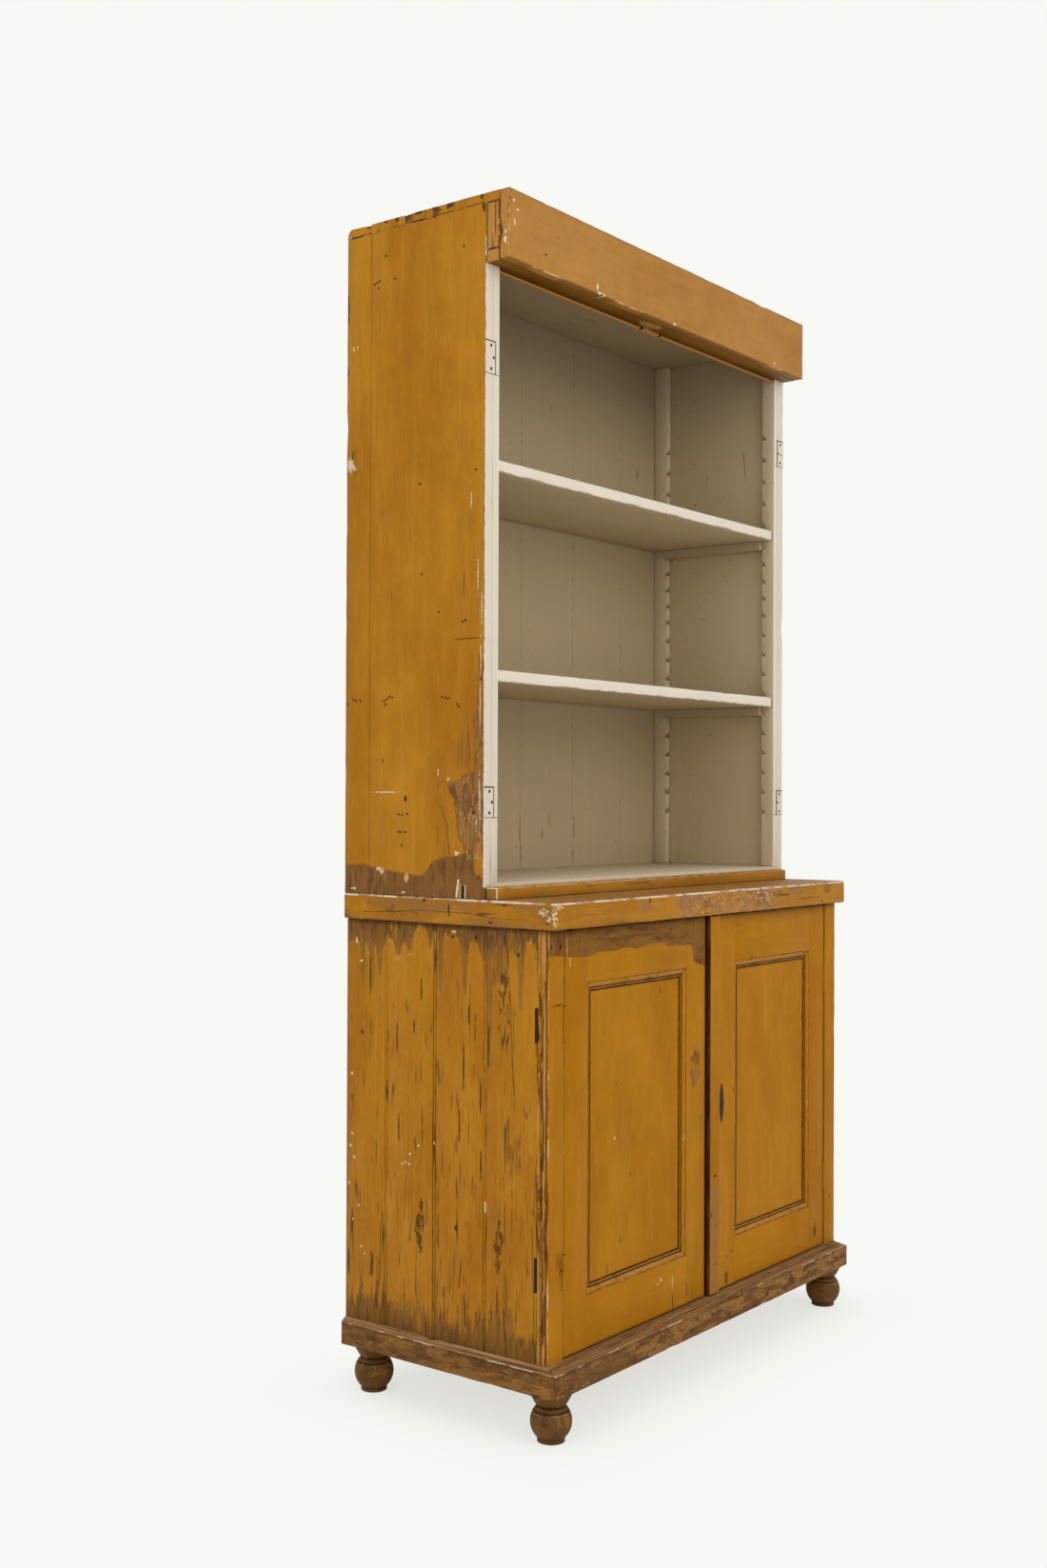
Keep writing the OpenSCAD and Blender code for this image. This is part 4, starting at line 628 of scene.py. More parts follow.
def base_side_finish(left):
    """Ochre boards with the varnish bare in drips under the worktop and in tongues over the plinth."""
    f = Finish("base_side_paint_" + ("left" if left else "right"))
    turned = f.y if left else 0.025 - f.y
    line = f.profile(turned.ragged(60, 0.0015), SIDE_DRIPS)
    strands = f.strands("Z", 190, 0.1, 2)
    over = f.z - line + f.wander(70, 0.006) + (strands - 0.5) * 0.055
    drips = over.rise(-0.002, 0.002)
    remains = strands.rise(0.56, 0.62)
    drips = drips * (1 - remains * 0.75) * (0.55 + f.z.rise(0.79, 0.84) * 0.45)
    tongue = f.strands("Z", 48, 0.14, 3, 4, 0.6)
    broad = f.strands("Z", 15, 0.5, 5, 3, 0.6)
    foot_field = (f.z.rise(0.29, 0.12, "LINEAR") + (tongue - 0.5) * 1 + (strands - 0.5) * 1.4
                  + (broad - 0.5) * 1.2)
    foot = foot_field.rise(0.62, 0.7) * f.z.rise(0.34, 0.26)
    front = f.y.rise(0.05, -0.1)
    low = f.z.rise(0.75, 0.3)
    groove_shade = f.corner_shade(0.006)
    age = 0.22 + front * 0.35 + low * 0.25
    worn = 0.1 + front * 0.06 + low * 0.04
    # The dirt argument paints shade into the board grooves, strongest at the middle joint.
    old_paint(f, "Z", worn=worn, age=age, shift=7, varnish=f.most(drips, foot * 0.62),
              flecks=0.1, ground=0.2, edge_wear=0.12, corner_shade_amount=0.08 + f.y.band(0.035, 0.012) * 0.6,
              strokes=0.45 + low * 0.2)
    # Painted light: the shade in the grooves is lightened, except at the middle joint and near the foot.
    groove_shade_lift = groove_shade * (1 - f.y.band(BOARD_JOINTS[1], 0.006)) * f.z.rise(0.3, 0.4)
    f.fade(1 + groove_shade_lift * 0.5)
    fine = f.most(f.flecks("Z", 150, 0.2, 0.17, 0.24, 31), f.flecks("Z", 230, 0.35, 0.2, 0.12, 33))
    f.mark(fine, CRACK, 0.65, 0.3)
    lit = f.flecks("Z", 190, 0.14, 0.2, 0.14, 35)
    f.mark(lit, tone(206, 158, 84), 0.5, -0.3)
    long_cracks = f.cracks("Z", 0.35 + low * 0.25, 23, 70, 0.022)
    f.mark(long_cracks, tone(84, 54, 22), 0.6, 0.4)
    rims = over.rise(-0.012, -0.003) * over.rise(0.001, -0.002) * f.noise(f.place, 26, 2).rise(0.5, 0.56)
    f.mark(rims, tone(206, 156, 84), 0.35)
    f.mark(foot * f.strands("Z", 120, 0.12, 8).rise(0.5, 0.6), tone(66, 42, 20), 0.55)
    f.mark(f.z.rise(0.185, PLINTH_TOP) * f.strands("Z", 90, 0.2, 8, 3, 0.55), DARK_VARNISH, 0.9)
    # Painted shadow under the worktop's overhang.
    f.mark(f.z.rise(WORKTOP_LOW - 0.012, WORKTOP_LOW - 0.001), CRACK, 0.55)
    edge = f.y.ragged(30, 0.003).rise(CABINET_BACK - 0.007, CABINET_BACK - 0.001)
    f.mark(edge, VARNISH, 0.6)
    if left:
        base_side_marks(f)
    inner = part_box("base_side_right")[0][0]
    inside = abs(f.x).rise(inner + 0.0018, inner + 0.0008)
    f.mark(inside, bare_pine(f, "Z")[0])
    return f.finish(0.0016)


def left_door_marks(f, over):
    """Wear under the worktop and beside the lock, painted shade at the meeting edge, with holes and chips."""
    f.mark(over.rise(-0.001, 0.002) * (1 - f.strands("X", 90, 0.3, 0, 3, 0.55).rise(0.4, 0.6)),
           tone(136, 92, 34), 0.7)
    worn_spot = f.spots(on_front(DOOR_FACE, [(-54, 556, 18, 14)], deep=0.05), 0.4, 80)
    f.mark(worn_spot, tone(146, 98, 44), 0.8)
    spot_rim = f.spots(on_front(DOOR_FACE, [(-52, 570, 35, 16)], deep=0.05), 0.4, 80)
    f.mark(spot_rim * (1 - f.spots(on_front(DOOR_FACE, [(-51, 570, 32, 13.5)], deep=0.05), 0.4, 80)),
           DARK_VARNISH, 0.6)
    # Painted shade along the meeting edge, beside the gap between the doors.
    f.mark(f.x.rise(-0.0225, -0.0185), tone(96, 62, 8), 0.45)
    f.mark(f.spots(on_front(DOOR_FACE, [(-461.2, 824, 21, 1.3)]), 0.3, 160), tone(206, 148, 72), 0.75)
    holes = on_front(DOOR_FACE, [(-505, 826), (-478, 825), (-472, 282)], 3.6, 3.2)
    holes += on_front(DOOR_FACE, [(-468, 800, 12), (-478, 291, 20), (-128, 148, 14), (-81, 162, 16)], 1.6)
    holes += on_front(DOOR_FACE, [(-488, 727, 1.2, 13)])
    f.mark(f.spots(holes, ragged=0.35, grain=200), CRACK, 0.8, 0.6)
    f.mark(f.spots(on_front(DOOR_FACE, [(-452, 801, 8, 1.3), (-168, 199, 3, 4), (-178, 192, 2, 3),
                                        (-129, 186, 12, 1.2)]), 0.5, 160), GROUND_WHITE, 0.5)


def right_door_marks(f, grain):
    f.mark(f.z.rise(0.82, 0.85) * f.strands(grain, 40, 0.3, 0, 3, 0.55), VARNISH, 0.6)
    holes = on_front(DOOR_FACE, [(83, 198), (424, 183), (18, 800), (16, 726), (65, 192), (8, 600)], 3, 2.6)
    holes += on_front(DOOR_FACE, [(424, 168), (64, 150)], 12, 6)
    f.mark(f.spots(holes, ragged=0.4, grain=160), CRACK, 0.7, 0.5)
    # Painted shade: the door's edge face in the gap between the doors, nearly black.
    f.mark(f.x.rise(-0.0068, -0.0074), tone(38, 20, 4), 0.92)


def door_finish(name, grain, left, **options):
    """Stiles and rails: the left door has lost its paint under the worktop."""
    f = Finish(name)
    varnish = None
    if left:
        over = (f.z - f.profile(f.x, DOOR_BAND)).ragged(50, 0.0022)
        stripped = over.rise(-0.0007, 0.0007)
        lock_wear = f.spots(on_front(DOOR_FACE, [(-49, 586, 17, 13)], deep=0.05), 0.4, 90)
        varnish = f.most(stripped, lock_wear * f.noise(f.place, 140, 3).rise(0.36, 0.44))
    low = f.z.rise(0.3, 0.14)
    old_paint(f, grain, DOOR_OCHRES, worn=0.03 + low * 0.07, edge_wear=0.25, ground=0.3,
              age=0.02 + low * 0.22, varnish=varnish, flecks=0.045, strokes=0.12, **options)
    if left:
        left_door_marks(f, over)
    else:
        right_door_marks(f, grain)
    # Painted shade in the gap above the plinth, and painted shadow under the worktop.
    f.mark(f.most(f.z.rise(0.139, 0.135), f.z.rise(WORKTOP_LOW - 0.012, WORKTOP_LOW - 0.003)), CRACK, 0.45)
    rear = f.y.rise(-0.1955, -0.1942)
    f.mark(rear, bare_pine(f, grain)[0])
    return f.finish(specular=0.05)


def moulding_finish(node):
    """Painted shade in the quirks, and rubbed to bare wood across the top and the foot of the panel."""
    f = Finish(node + "_paint")
    low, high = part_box(node)
    across = f.least(f.x - low[0], high[0] - f.x)
    upright = f.least(f.z - low[2], high[2] - f.z)
    inward = f.least(across, upright).ragged(60, 0.0006)
    horizontal = (across - upright).rise(0, 0.0008)
    # Painted shade at full strength in the moulding's corners, over a short reach.
    old_paint(f, "Z", DOOR_OCHRES, worn=0.08 + horizontal * 0.08, edge_wear=0.3, ground=0.3,
              age=0.2, shift=8, corner_shade_amount=1, corner_shade_reach=0.007)
    tan = f.strands("X", 60, 0.2, 3, 4, 0.6)
    f.mark(horizontal * inward.rise(0.001, 0.0025) * tan.rise(0.3, 0.52), tone(176, 122, 52), 0.8)
    f.mark(horizontal * f.strands("X", 90, 0.3, 9, 3, 0.55).rise(0.54, 0.62), VARNISH, 0.7)
    # Painted shade in the quirks.
    quirk_shade = f.most(inward.band(0.0108, 0.001, 0.0007), inward.band(0.0158, 0.001, 0.0007))
    f.mark(quirk_shade, CRACK, 0.95, 0.5)
    outer = inward.rise(0.0024, 0.0008) * f.noise(f.place, 90, 3).rise(0.36, 0.56)
    f.mark(outer, DARK_VARNISH, 0.75, 0.3)
    return f.finish(0.0004, 0.05)


def panel_finish(name, shift):
    f = Finish(name)
    old_paint(f, "Z", DOOR_OCHRES, worn=0, edge_wear=0.2, ground=0.1, age=0.04, shift=shift, flecks=0.04,
              strokes=0.1)
    holes = on_front(PANEL_FACE, [(-289, 294, 7), (-249, 468, 1.8), (-303, 570, 2.2), (285, 540, 2)], 1.8)
    f.mark(f.spots(holes, ragged=0.35, grain=160), CRACK, 0.8, 0.5)
    f.mark(f.spots(on_front(PANEL_FACE, [(-308, 477, 3, 2.2)]), 0.35, 160), GROUND_WHITE, 0.8)
    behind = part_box("left_door_panel")[1][1]
    f.mark(f.y.rise(behind - 0.0012, behind - 0.0006), bare_pine(f, "Z")[0])
    return f.finish(specular=0.05)


def corner_stile_finish(left):
    """Painted like the doors in front, worn on the side, with a dark groove and chips at the corner."""
    f = Finish("corner_stile_paint_" + ("left" if left else "right"))
    side = abs(f.x).rise(0.5102, 0.511)
    over = (f.z - f.profile(f.x, DOOR_BAND)).ragged(50, 0.0022)
    stripped = over.rise(-0.0007, 0.0007) * (1 - side) if left else None
    low = f.z.rise(0.26, 0.14)
    # Painted shade in the corners, at about a third of full strength.
    old_paint(f, "Z", DOOR_OCHRES, worn=0.03 + side * 0.16 + low * 0.06, edge_wear=0.3,
              ground=0.35, age=0.02 + side * 0.5, shift=2 if left else 2.5, flecks=0.045, varnish=stripped,
              corner_shade_amount=0.35, strokes=0.12 + side * 0.6)
    worn_side = f.strands("Z", 70, 0.2, 3, 4, 0.6)
    f.mark(side * worn_side.rise(0.38, 0.58), tone(184, 128, 62), 0.85)
    slip = f.wander(28, 0.0009)
    groove = side * (f.y + slip).band(-0.2132, 0.0007, 0.0006)
    f.mark(groove * f.strands("Z", 24, 0.4, 2, 3, 0.55).rise(0.36, 0.42), CRACK, 0.9, 0.8)
    seam = side * (f.y + slip).band(-0.1934, 0.0006, 0.0006)
    f.mark(seam * f.strands("Z", 20, 0.4, 6, 3, 0.55).rise(0.4, 0.46), CRACK, 0.8, 0.6)
    rough = f.strands("Z", 95, 0.16, 12, 4, 0.65, 0.4)
    f.mark(side * rough.rise(0.53, 0.6), tone(74, 47, 20), 0.8, 0.4)
    split = f.y.ragged(16, 0.003)
    f.mark(side * split.band(-0.204, 0.0011, 0.0008) * f.strands("Z", 14, 0.5, 15, 3, 0.55).rise(0.44, 0.5),
           CRACK, 0.85, 0.8)
    f.mark(side * f.y.rise(-0.1955, -0.194) * f.most(*[f.z.band(z, HINGE_HALF) for z in HINGE_HEIGHTS]),
           tone(26, 18, 12), 0.95, 0.6)
    corner = (f.y + slip).rise(-0.2142, -0.2156) * abs(f.x).rise(0.5095, 0.5108)
    chipped = f.strands("Z", 70, 0.3, 5).rise(0.52, 0.6)
    f.mark(corner * chipped, tone(206, 184, 146), 0.6)
    if left:
        holes = on_front(DOOR_FACE, [(-505, 826), (-478, 825), (-472, 282)], 3.6, 3.2)
        holes += on_front(DOOR_FACE, [(-488, 727, 1.2, 13), (-481, 728, 2.2, 5), (-478, 291, 20, 1.6),
                                      (-486, 300, 15, 1.2)])
        f.mark(f.spots(holes, ragged=0.35, grain=200), CRACK, 0.8, 0.6)
    # Painted shadow under the worktop's overhang.
    f.mark(f.z.rise(WORKTOP_LOW - 0.012, WORKTOP_LOW - 0.001), CRACK, 0.5)
    return f.finish(0.0006, 0.05)


def painted_iron_finish():
    """Hinges painted over in front, with bare iron where their leaves end at the sides."""
    f = Finish("painted_iron")
    old_paint(f, "Z", DOOR_OCHRES, worn=0.1, edge_wear=0.3, ground=0, age=0, shift=2, strokes=0.2)
    f.mark(abs(f.x).rise(0.5095, 0.5105), tone(34, 26, 18))
    return f.finish(0.0003)


def batten_finish():
    f = Finish("batten_paint")
    old_paint(f, "Z", DOOR_OCHRES, worn=0.05, edge_wear=0.3, ground=0.5, age=0.08, shift=11, flecks=0.06)
    grey = f.z.ragged(30, 0.012).rise(0.345, 0.325) * f.x.rise(0.0275, 0.024)
    f.mark(grey * f.stroke.rise(0.3, 0.6), tone(146, 104, 60), 0.7)
    marks = on_front(BATTEN_FACE, [(10, 357, 3, 6), (14, 262, 2, 2), (18, 188, 2.2, 2), (-3, 285, 5, 2)])
    f.mark(f.spots(marks, ragged=0.35, grain=200), CRACK, 0.8, 0.5)
    # Painted shade: the batten's edge face in the gap between the doors, nearly black.
    f.mark(f.x.rise(-0.0066, -0.0074), tone(44, 24, 4), 0.92)
    f.mark(f.x.rise(-0.004, -0.006) * f.stroke.rise(0.42, 0.55), VARNISH, 0.6)
    f.fade(0.96)
    return f.finish(specular=0.05)


def worktop_finish():
    """Ochre on the edges, rubbed to the wood on top, with white ground along the arrises."""
    f = Finish("worktop_paint")
    top = f.z.rise(WORKTOP_TOP - 0.0025, WORKTOP_TOP - 0.0005)
    front = f.y.rise(-0.228, -0.234)
    along = f.x.ragged(26, 0.03)
    figured = front * along.rise(-0.15, -0.144) * along.rise(0.222, 0.214)
    figure = f.cloud((34, 34, 60), (3, 0, 0), 4, 0.6, 1.6)
    worn = 0.14 + top * 0.3
    side = abs(f.x).rise(0.5215, 0.5228)
    worn = worn + side * 0.06
    old_paint(f, "X", worn=worn, edge_wear=0.42, ground=0.6, age=0.45, shift=17, flecks=0.2, strokes=0.55)
    ground = figured * f.cloud((22, 22, 40), (6, 0, 0), 3, 0.6).rise(0.36, 0.44)
    f.mark(ground, tone(154, 108, 62), 0.85)
    f.mark(figured * figure.band(0.54, 0.026, 0.012), tone(192, 136, 62), 0.75)
    f.mark(figured * figure.band(0.47, 0.012, 0.008), tone(104, 70, 38), 0.7)
    grey_patches = f.spots(on_front(WORKTOP_FACE, [(305, 889, 10, 28), (446, 899, 10, 24), (-248, 882, 9, 22),
                                                   (-115, 884, 16, 30)]),
                           0.45, 55)
    f.mark(grey_patches, tone(146, 102, 60), 0.75)
    flaked_white = f.spots(on_front(WORKTOP_FACE, [(165, 883, 18, 34)]), 0.4, 60)
    f.mark(flaked_white * f.cloud((150, 150, 190), (4, 0, 0), 3, 0.6).rise(0.56, 0.62), GROUND_WHITE, 0.6, -0.3)
    cracked = f.cracks("Y", 0.8, 4, 60, 0.02)
    f.mark(side * cracked, CRACK, 0.7, 0.5)
    tan_side = f.strands("Y", 40, 0.15, 6, 4, 0.6)
    f.mark(side * tan_side.rise(0.4, 0.56), tone(136, 94, 46), 0.7)
    f.mark(f.z.ragged(50, 0.001).rise(WORKTOP_LOW + 0.003, WORKTOP_LOW + 0.0005), DARK_VARNISH, 0.6)
    tan = f.strands("X", 30, 0.12, 2, 4, 0.6)
    f.mark(top * tan.rise(0.35, 0.65), tone(160, 120, 80), 0.55)
    arris_line = f.z.rise(WORKTOP_TOP - 0.0042, WORKTOP_TOP - 0.003)
    arris_line = arris_line * f.z.rise(WORKTOP_TOP - 0.0004, WORKTOP_TOP - 0.0012)
    f.mark(arris_line * f.cloud((22, 22, 60)).rise(0.44, 0.5), GROUND_WHITE, 0.8)
    rim = f.z.rise(WORKTOP_TOP - 0.005, WORKTOP_TOP - 0.002) * f.arris(0.006)
    flaked = f.cloud((38, 38, 38)).rise(0.4, 0.5)
    f.mark(rim * flaked, GROUND_WHITE, 0.85)
    corner = f.spots([((-0.52, -0.234, 0.884), (0.005, 0.006, 0.015)),
                      ((-0.518, -0.236, 0.868), (0.003, 0.004, 0.012)),
                      ((-0.524, -0.214, 0.885), (0.006, 0.012, 0.007)),
                      ((-0.524, -0.224, 0.874), (0.006, 0.006, 0.008)),
                      ((-0.508, -0.237, 0.894), (0.01, 0.01, 0.005))], 0.5, 110)
    f.mark(corner * f.noise(f.place, 260, 3).rise(0.48, 0.54), GROUND_WHITE, 0.7)
    f.mark(f.spots([((-0.524, -0.222, 0.866), (0.006, 0.0045, 0.0016))], 0.3, 160), CRACK, 0.9)
    knots = on_side(-WORKTOP_END, [(128, 873, 11, 13)])
    knots += on_front(WORKTOP_FACE, [(158, 878, 14, 16), (-42, 877, 8, 16), (440, 887, 9, 20)])
    knots = f.spots(knots, 0.4, 60)
    ring = f.cloud((150, 150, 210), (0, 0, 0), 3, 0.6, 1)
    f.mark(knots * ring.rise(0.46, 0.54), DARK_VARNISH, 0.75)
    slits = on_side(-WORKTOP_END, [(-8, 879, 12, 2.2), (48, 894, 3, 4)])
    slits += on_front(WORKTOP_FACE, [(-238, 891, 7, 2.2), (158, 897, 5, 2.5), (417, 861, 3.5, 3)])
    slits += on_side(-WORKTOP_END, [(-100, 862, 2, 4)])
    f.mark(f.spots(slits, ragged=0.4, grain=110), CRACK, 0.85, 0.7)
    return f.finish(0.0009)


def plinth_finish(name, grain, shift):
    """Brown with little paint left, a rubbed bevel, and white along its lower arris."""
    f = Finish(name)
    bevel = f.z.rise(PLINTH_TOP - 0.0095, PLINTH_TOP - 0.0082)
    old_paint(f, grain, PLINTH_OCHRES, worn=0.52, edge_wear=0.1, ground=0.06, age=0.3, shift=shift,
              flecks=0.12)
    chips = f.flecks(grain, 120, 0.6, 0.26, 0.3, shift + 5)
    f.fade(0.9)
    f.mark(chips * (1 - bevel), tone(196, 144, 76), 0.75)
    dark = f.strands(grain, 60, 0.4, shift + 8)
    f.mark(dark.rise(0.56, 0.66) * (1 - bevel), tone(72, 46, 22), 0.55)
    tan = f.strands(grain, 110, 0.08, shift, 4, 0.6)
    f.mark(bevel * tan.rise(0.36, 0.6), tone(154, 110, 68), 0.75)
    lines = f.noise(f.stretched(*((2.5, 420, 420) if grain == "X" else (420, 2.5, 420))), 1, 2, 0.5)
    f.mark(bevel * lines.rise(0.54, 0.62), tone(196, 162, 122), 0.5)
    f.mark(bevel * lines.rise(0.46, 0.4), DARK_VARNISH, 0.7)
    rim = f.z.ragged(60, 0.001).band(PLINTH_TOP - 0.0096, 0.0006, 0.0005)
    f.mark(rim * f.strands(grain, 60, 0.4, 9).rise(0.5, 0.6), tone(216, 196, 166), 0.65)
    f.mark(f.z.band(PLINTH_TOP - 0.0122, 0.0008, 0.0008), CRACK, 0.5)
    return f.finish(0.0009)


def foot_finish():
    f = Finish("feet_paint")
    old_paint(f, "Z", FEET_BROWNS, worn=0.22, edge_wear=0.2, ground=0.15, age=0.1, shift=20, flecks=0.1)
    turned = f.cloud((12, 12, 260), (0, 0, 0), 2, 0.6)
    f.fade(0.86 + turned * 0.28)
    chips = f.flecks("Z", 110, 0.9, 0.2, 0.06, 4)
    f.mark(chips, tone(190, 152, 100), 0.7)
    rubbed = f.cloud((34, 34, 34))
    f.mark(rubbed.rise(0.54, 0.66), tone(150, 108, 44), 0.5)
    f.mark(rubbed.rise(0.42, 0.34), tone(64, 42, 20), 0.6)
    rings = f.most(f.z.band(0.052, 0.001), f.z.band(0.0602, 0.0014), f.z.band(0.0075, 0.001))
    f.mark(rings, tone(44, 28, 14), 0.7, 0.5)
    f.mark(f.z.band(0.0498, 0.0007) * rubbed.rise(0.46, 0.56), tone(178, 148, 106), 0.5)
    f.roughness = 0.34 + rubbed * 0.3
    return f.finish(0.0005, 0.16)


def fascia_finish():
    f = Finish("fascia_board_paint")
    low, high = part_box("fascia_board")
    old_paint(f, "X", FASCIA_OCHRES, worn=0, edge_wear=0.26, ground=0.5, age=0, shift=12, flecks=0.05)
    mottle = f.cloud((46, 46, 46), (0, 0, 0), 4, 0.6)
    f.fade(0.93 + mottle * 0.14)
    under = f.z.ragged(40, 0.0014).rise(low[2] + 0.0022, low[2] + 0.001)
    under = under * f.y.rise(low[1] + 0.003, low[1] + 0.0018)
    stretches = f.most(f.x.band(-0.41, 0.035, 0.02), f.x.band(-0.155, 0.035, 0.02), f.x.band(0.395, 0.02, 0.02))
    f.mark(under * stretches * mottle.rise(0.4, 0.52), tone(230, 200, 160), 0.7)
    f.mark(f.z.ragged(40, 0.0012).rise(low[2] + 0.0028, low[2] + 0.001) * (1 - stretches), VARNISH, 0.65)
    f.mark(f.z.ragged(40, 0.0012).rise(high[2] - 0.003, high[2] - 0.0012), DARK_VARNISH, 0.7)
    left_line = f.x.band(low[0] + 0.0032, 0.0006, 0.0008) * f.noise(f.place, 40, 3).rise(0.4, 0.5)
    f.mark(left_line, DARK_VARNISH, 0.6)
    chips = on_front(FASCIA_FACE, [(-259, 2001, 7, 2.8), (-252, 1993, 2.2, 7), (-238, 1992, 3, 3),
                                   (0.7, 1993.5, 2.2, 5), (395, 1999, 3, 3), (-508, 2090, 3, 2),
                                   (-497, 2076, 2, 3), (-505, 2053, 6, 1.6)])
    chips += on_side(-FASCIA_END, [(-123.5, 2022, 6, 3), (-124, 2036, 4, 2)])
    f.mark(f.spots(chips, ragged=0.4, grain=140), GROUND_WHITE, 0.85)
    dents = on_front(FASCIA_FACE, [(-254, 2108), (-136, 2108), (17, 2107), (-446, 2043), (-382, 2059),
                                   (-233, 2078), (-96.5, 2028), (224.5, 2051), (175, 2065), (441, 2025)], 2,
                     2.4)
    dents += [((-0.52, -0.1305, 2.071), (0.01, 0.002, 0.014)), ((-0.52, -0.1315, 2.092), (0.01, 0.0016, 0.004))]
    f.mark(f.spots(dents, ragged=0.4, grain=160), VARNISH, 0.8, 0.4)
    left_arris = f.x.rise(low[0] + 0.0025, low[0] + 0.0008) * f.y.rise(low[1] + 0.003, low[1] + 0.001)
    f.mark(left_arris * f.noise(f.place, 60, 4).rise(0.5, 0.58), tone(214, 176, 146), 0.6)
    return f.finish(0.0004)


def fascia_end_finish():
    """The pieces behind the fascia's ends, with dark seams round them."""
    f = Finish("fascia_end_paint")
    low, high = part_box("fascia_returns")
    old_paint(f, "Z", FASCIA_OCHRES, worn=0.1, edge_wear=0.3, ground=0.2, age=0.7, shift=13, flecks=0.2)
    slip = f.wander(35, 0.0006)
    seams = f.most((f.y + slip).band(high[1] - 0.0012, 0.001), (f.y + slip).band(low[1] + 0.0012, 0.001),
                   (f.z + slip).band(low[2] + 0.0012, 0.001), (f.z + slip).band(high[2] - 0.0012, 0.001),
                   (f.y + slip).band(-0.103, 0.0009) * f.z.rise(2.03, 2.045))
    seams = seams * f.noise(f.place, 50, 3).rise(0.34, 0.42) * abs(f.x).rise(0.5185, 0.5192)
    f.mark(seams, CRACK, 0.85, 0.5)
    return f.finish()


def soffit_finish():
    """Painted shade underneath: dark ochre, torn beside the catch block, and lighter where its ends show on the
    sides.
    """
    f = Finish("soffit_paint")
    # Painted shade: the underside in darkened ochre.
    old_paint(f, "X", SHADED_SOFFIT_BROWNS, worn=0.1, age=0.2, shift=14, edge_wear=0.2)
    end = abs(f.x).rise(0.5186, 0.5194)
    f.mark(end, tone(184, 128, 56), 0.85)
    low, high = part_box("soffit_strip")
    rim = f.least(f.y - low[1], high[1] - f.y, high[2] - f.z)
    f.mark(end * rim.ragged(60, 0.0005).rise(0.0022, 0.0012), CRACK, 0.8)
    torn = f.spots([((-0.03, -0.096, 1.99), (0.034, 0.013, 0.02))], 0.4, 60) * (1 - end)
    f.mark(torn, tone(176, 134, 84), 0.75)
    return f.finish()


def upper_top_finish():
    f = Finish("upper_top_paint")
    old_paint(f, "X", worn=0.14, edge_wear=0.4, ground=0.3, age=0.3, shift=21, flecks=0.12)
    return f.finish()


def head_rail_finish(name):
    """Painted shade: dark ochre in front; a painted highlight along the lower edge; cream behind, darkened as
    painted shade.
    """
    f = Finish(name)
    old_paint(f, "X", SHADED_SOFFIT_BROWNS, worn=0.06, edge_wear=0.2, ground=0.1, age=0.3, shift=15, flecks=0.12)
    # Painted highlight: the lower edge made lighter, where it catches the light.
    rubbed = f.z.ragged(60, 0.0004).rise(RAIL_LOW + 0.0018, RAIL_LOW + 0.0008)
    f.mark(rubbed, tone(190, 128, 54), 0.85)
    if name.startswith("catch"):
        f.mark(f.cloud((40, 90, 90)).rise(0.42, 0.54), tone(158, 116, 70), 0.7)
        slots = [((x, -0.081, 1.985), (0.0046, 0.0052, 0.007)) for x in (-0.041, 0.024)]
        f.mark(f.spots(slots, 0.1, 200), tone(18, 12, 7), 0.95)
    f.mark(f.y.rise(-0.0662, -0.0652), cream_paint(f, "X", SHADED_INNER_CREAM)[0])
    return f.finish()


def foot_rail_finish():
    f = Finish("foot_rail_paint")
    top = f.z.rise(FOOT_RAIL_TOP - 0.003, FOOT_RAIL_TOP - 0.001)
    old_paint(f, "X", worn=0.06 + top * 0.14, edge_wear=0.3, ground=0.3, age=0.3, shift=16,
              flecks=0.1)
    wood = f.z.ragged(16, 0.0035).rise(WORKTOP_TOP + 0.0065, WORKTOP_TOP + 0.003)
    f.mark(wood, tone(164, 116, 62), 0.55)
    edge = f.z.rise(FOOT_RAIL_TOP - 0.0035, FOOT_RAIL_TOP - 0.0015) * f.arris(0.004)
    f.mark(edge * f.cloud((30, 60, 60)).rise(0.42, 0.52), GROUND_WHITE, 0.8)
    left_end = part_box("foot_rail")[0]
    end = f.x.rise(left_end[0] + 0.002, left_end[0] + 0.0005)
    f.mark(end, VARNISH, 0.65)
    rim = f.most(f.z.rise(FOOT_RAIL_TOP - 0.003, FOOT_RAIL_TOP - 0.001),
                 f.y.rise(left_end[1] + 0.003, left_end[1] + 0.001))
    f.mark(f.x.rise(left_end[0] + 0.003, left_end[0] + 0.001) * rim, GROUND_WHITE, 0.7)
    return f.finish()


def front_cream_finish():
    """Racks: cream on the front edge with a painted highlight on the inner arris, and painted shade inside."""
    f = Finish("rack_cream")
    f.coat(cream_paint(f, "Z", CREAM, 0.05, 1))
    # Painted shade: a darker copy of the cream behind the front edge.
    shaded_inside = cream_paint(f, "Z", SHADED_RACK_CREAM, 0.1, 1)[0]
    f.mark(f.y.rise(SHELVES_FRONT + 0.0008, SHELVES_FRONT + 0.004), shaded_inside)
    # Painted highlight on the inner arris.
    arris_highlight = abs(f.x).rise(RACK_INNER + 0.0035, RACK_INNER + 0.0015)
    f.mark(arris_highlight * f.y.rise(SHELVES_FRONT + 0.004, SHELVES_FRONT + 0.001), tone(244, 238, 226), 0.75)
    cut_z = [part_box("old_hinge_leaves")[0][2], UPPER_LEAF_LOW]
    saw = f.most(*[f.z.band(z, 0.0006) for z in cut_z]) * f.y.rise(SHELVES_FRONT + 0.002, SHELVES_FRONT + 0.001)
    f.mark(saw, VARNISH, 0.7)
    return f.finish(0.0004)


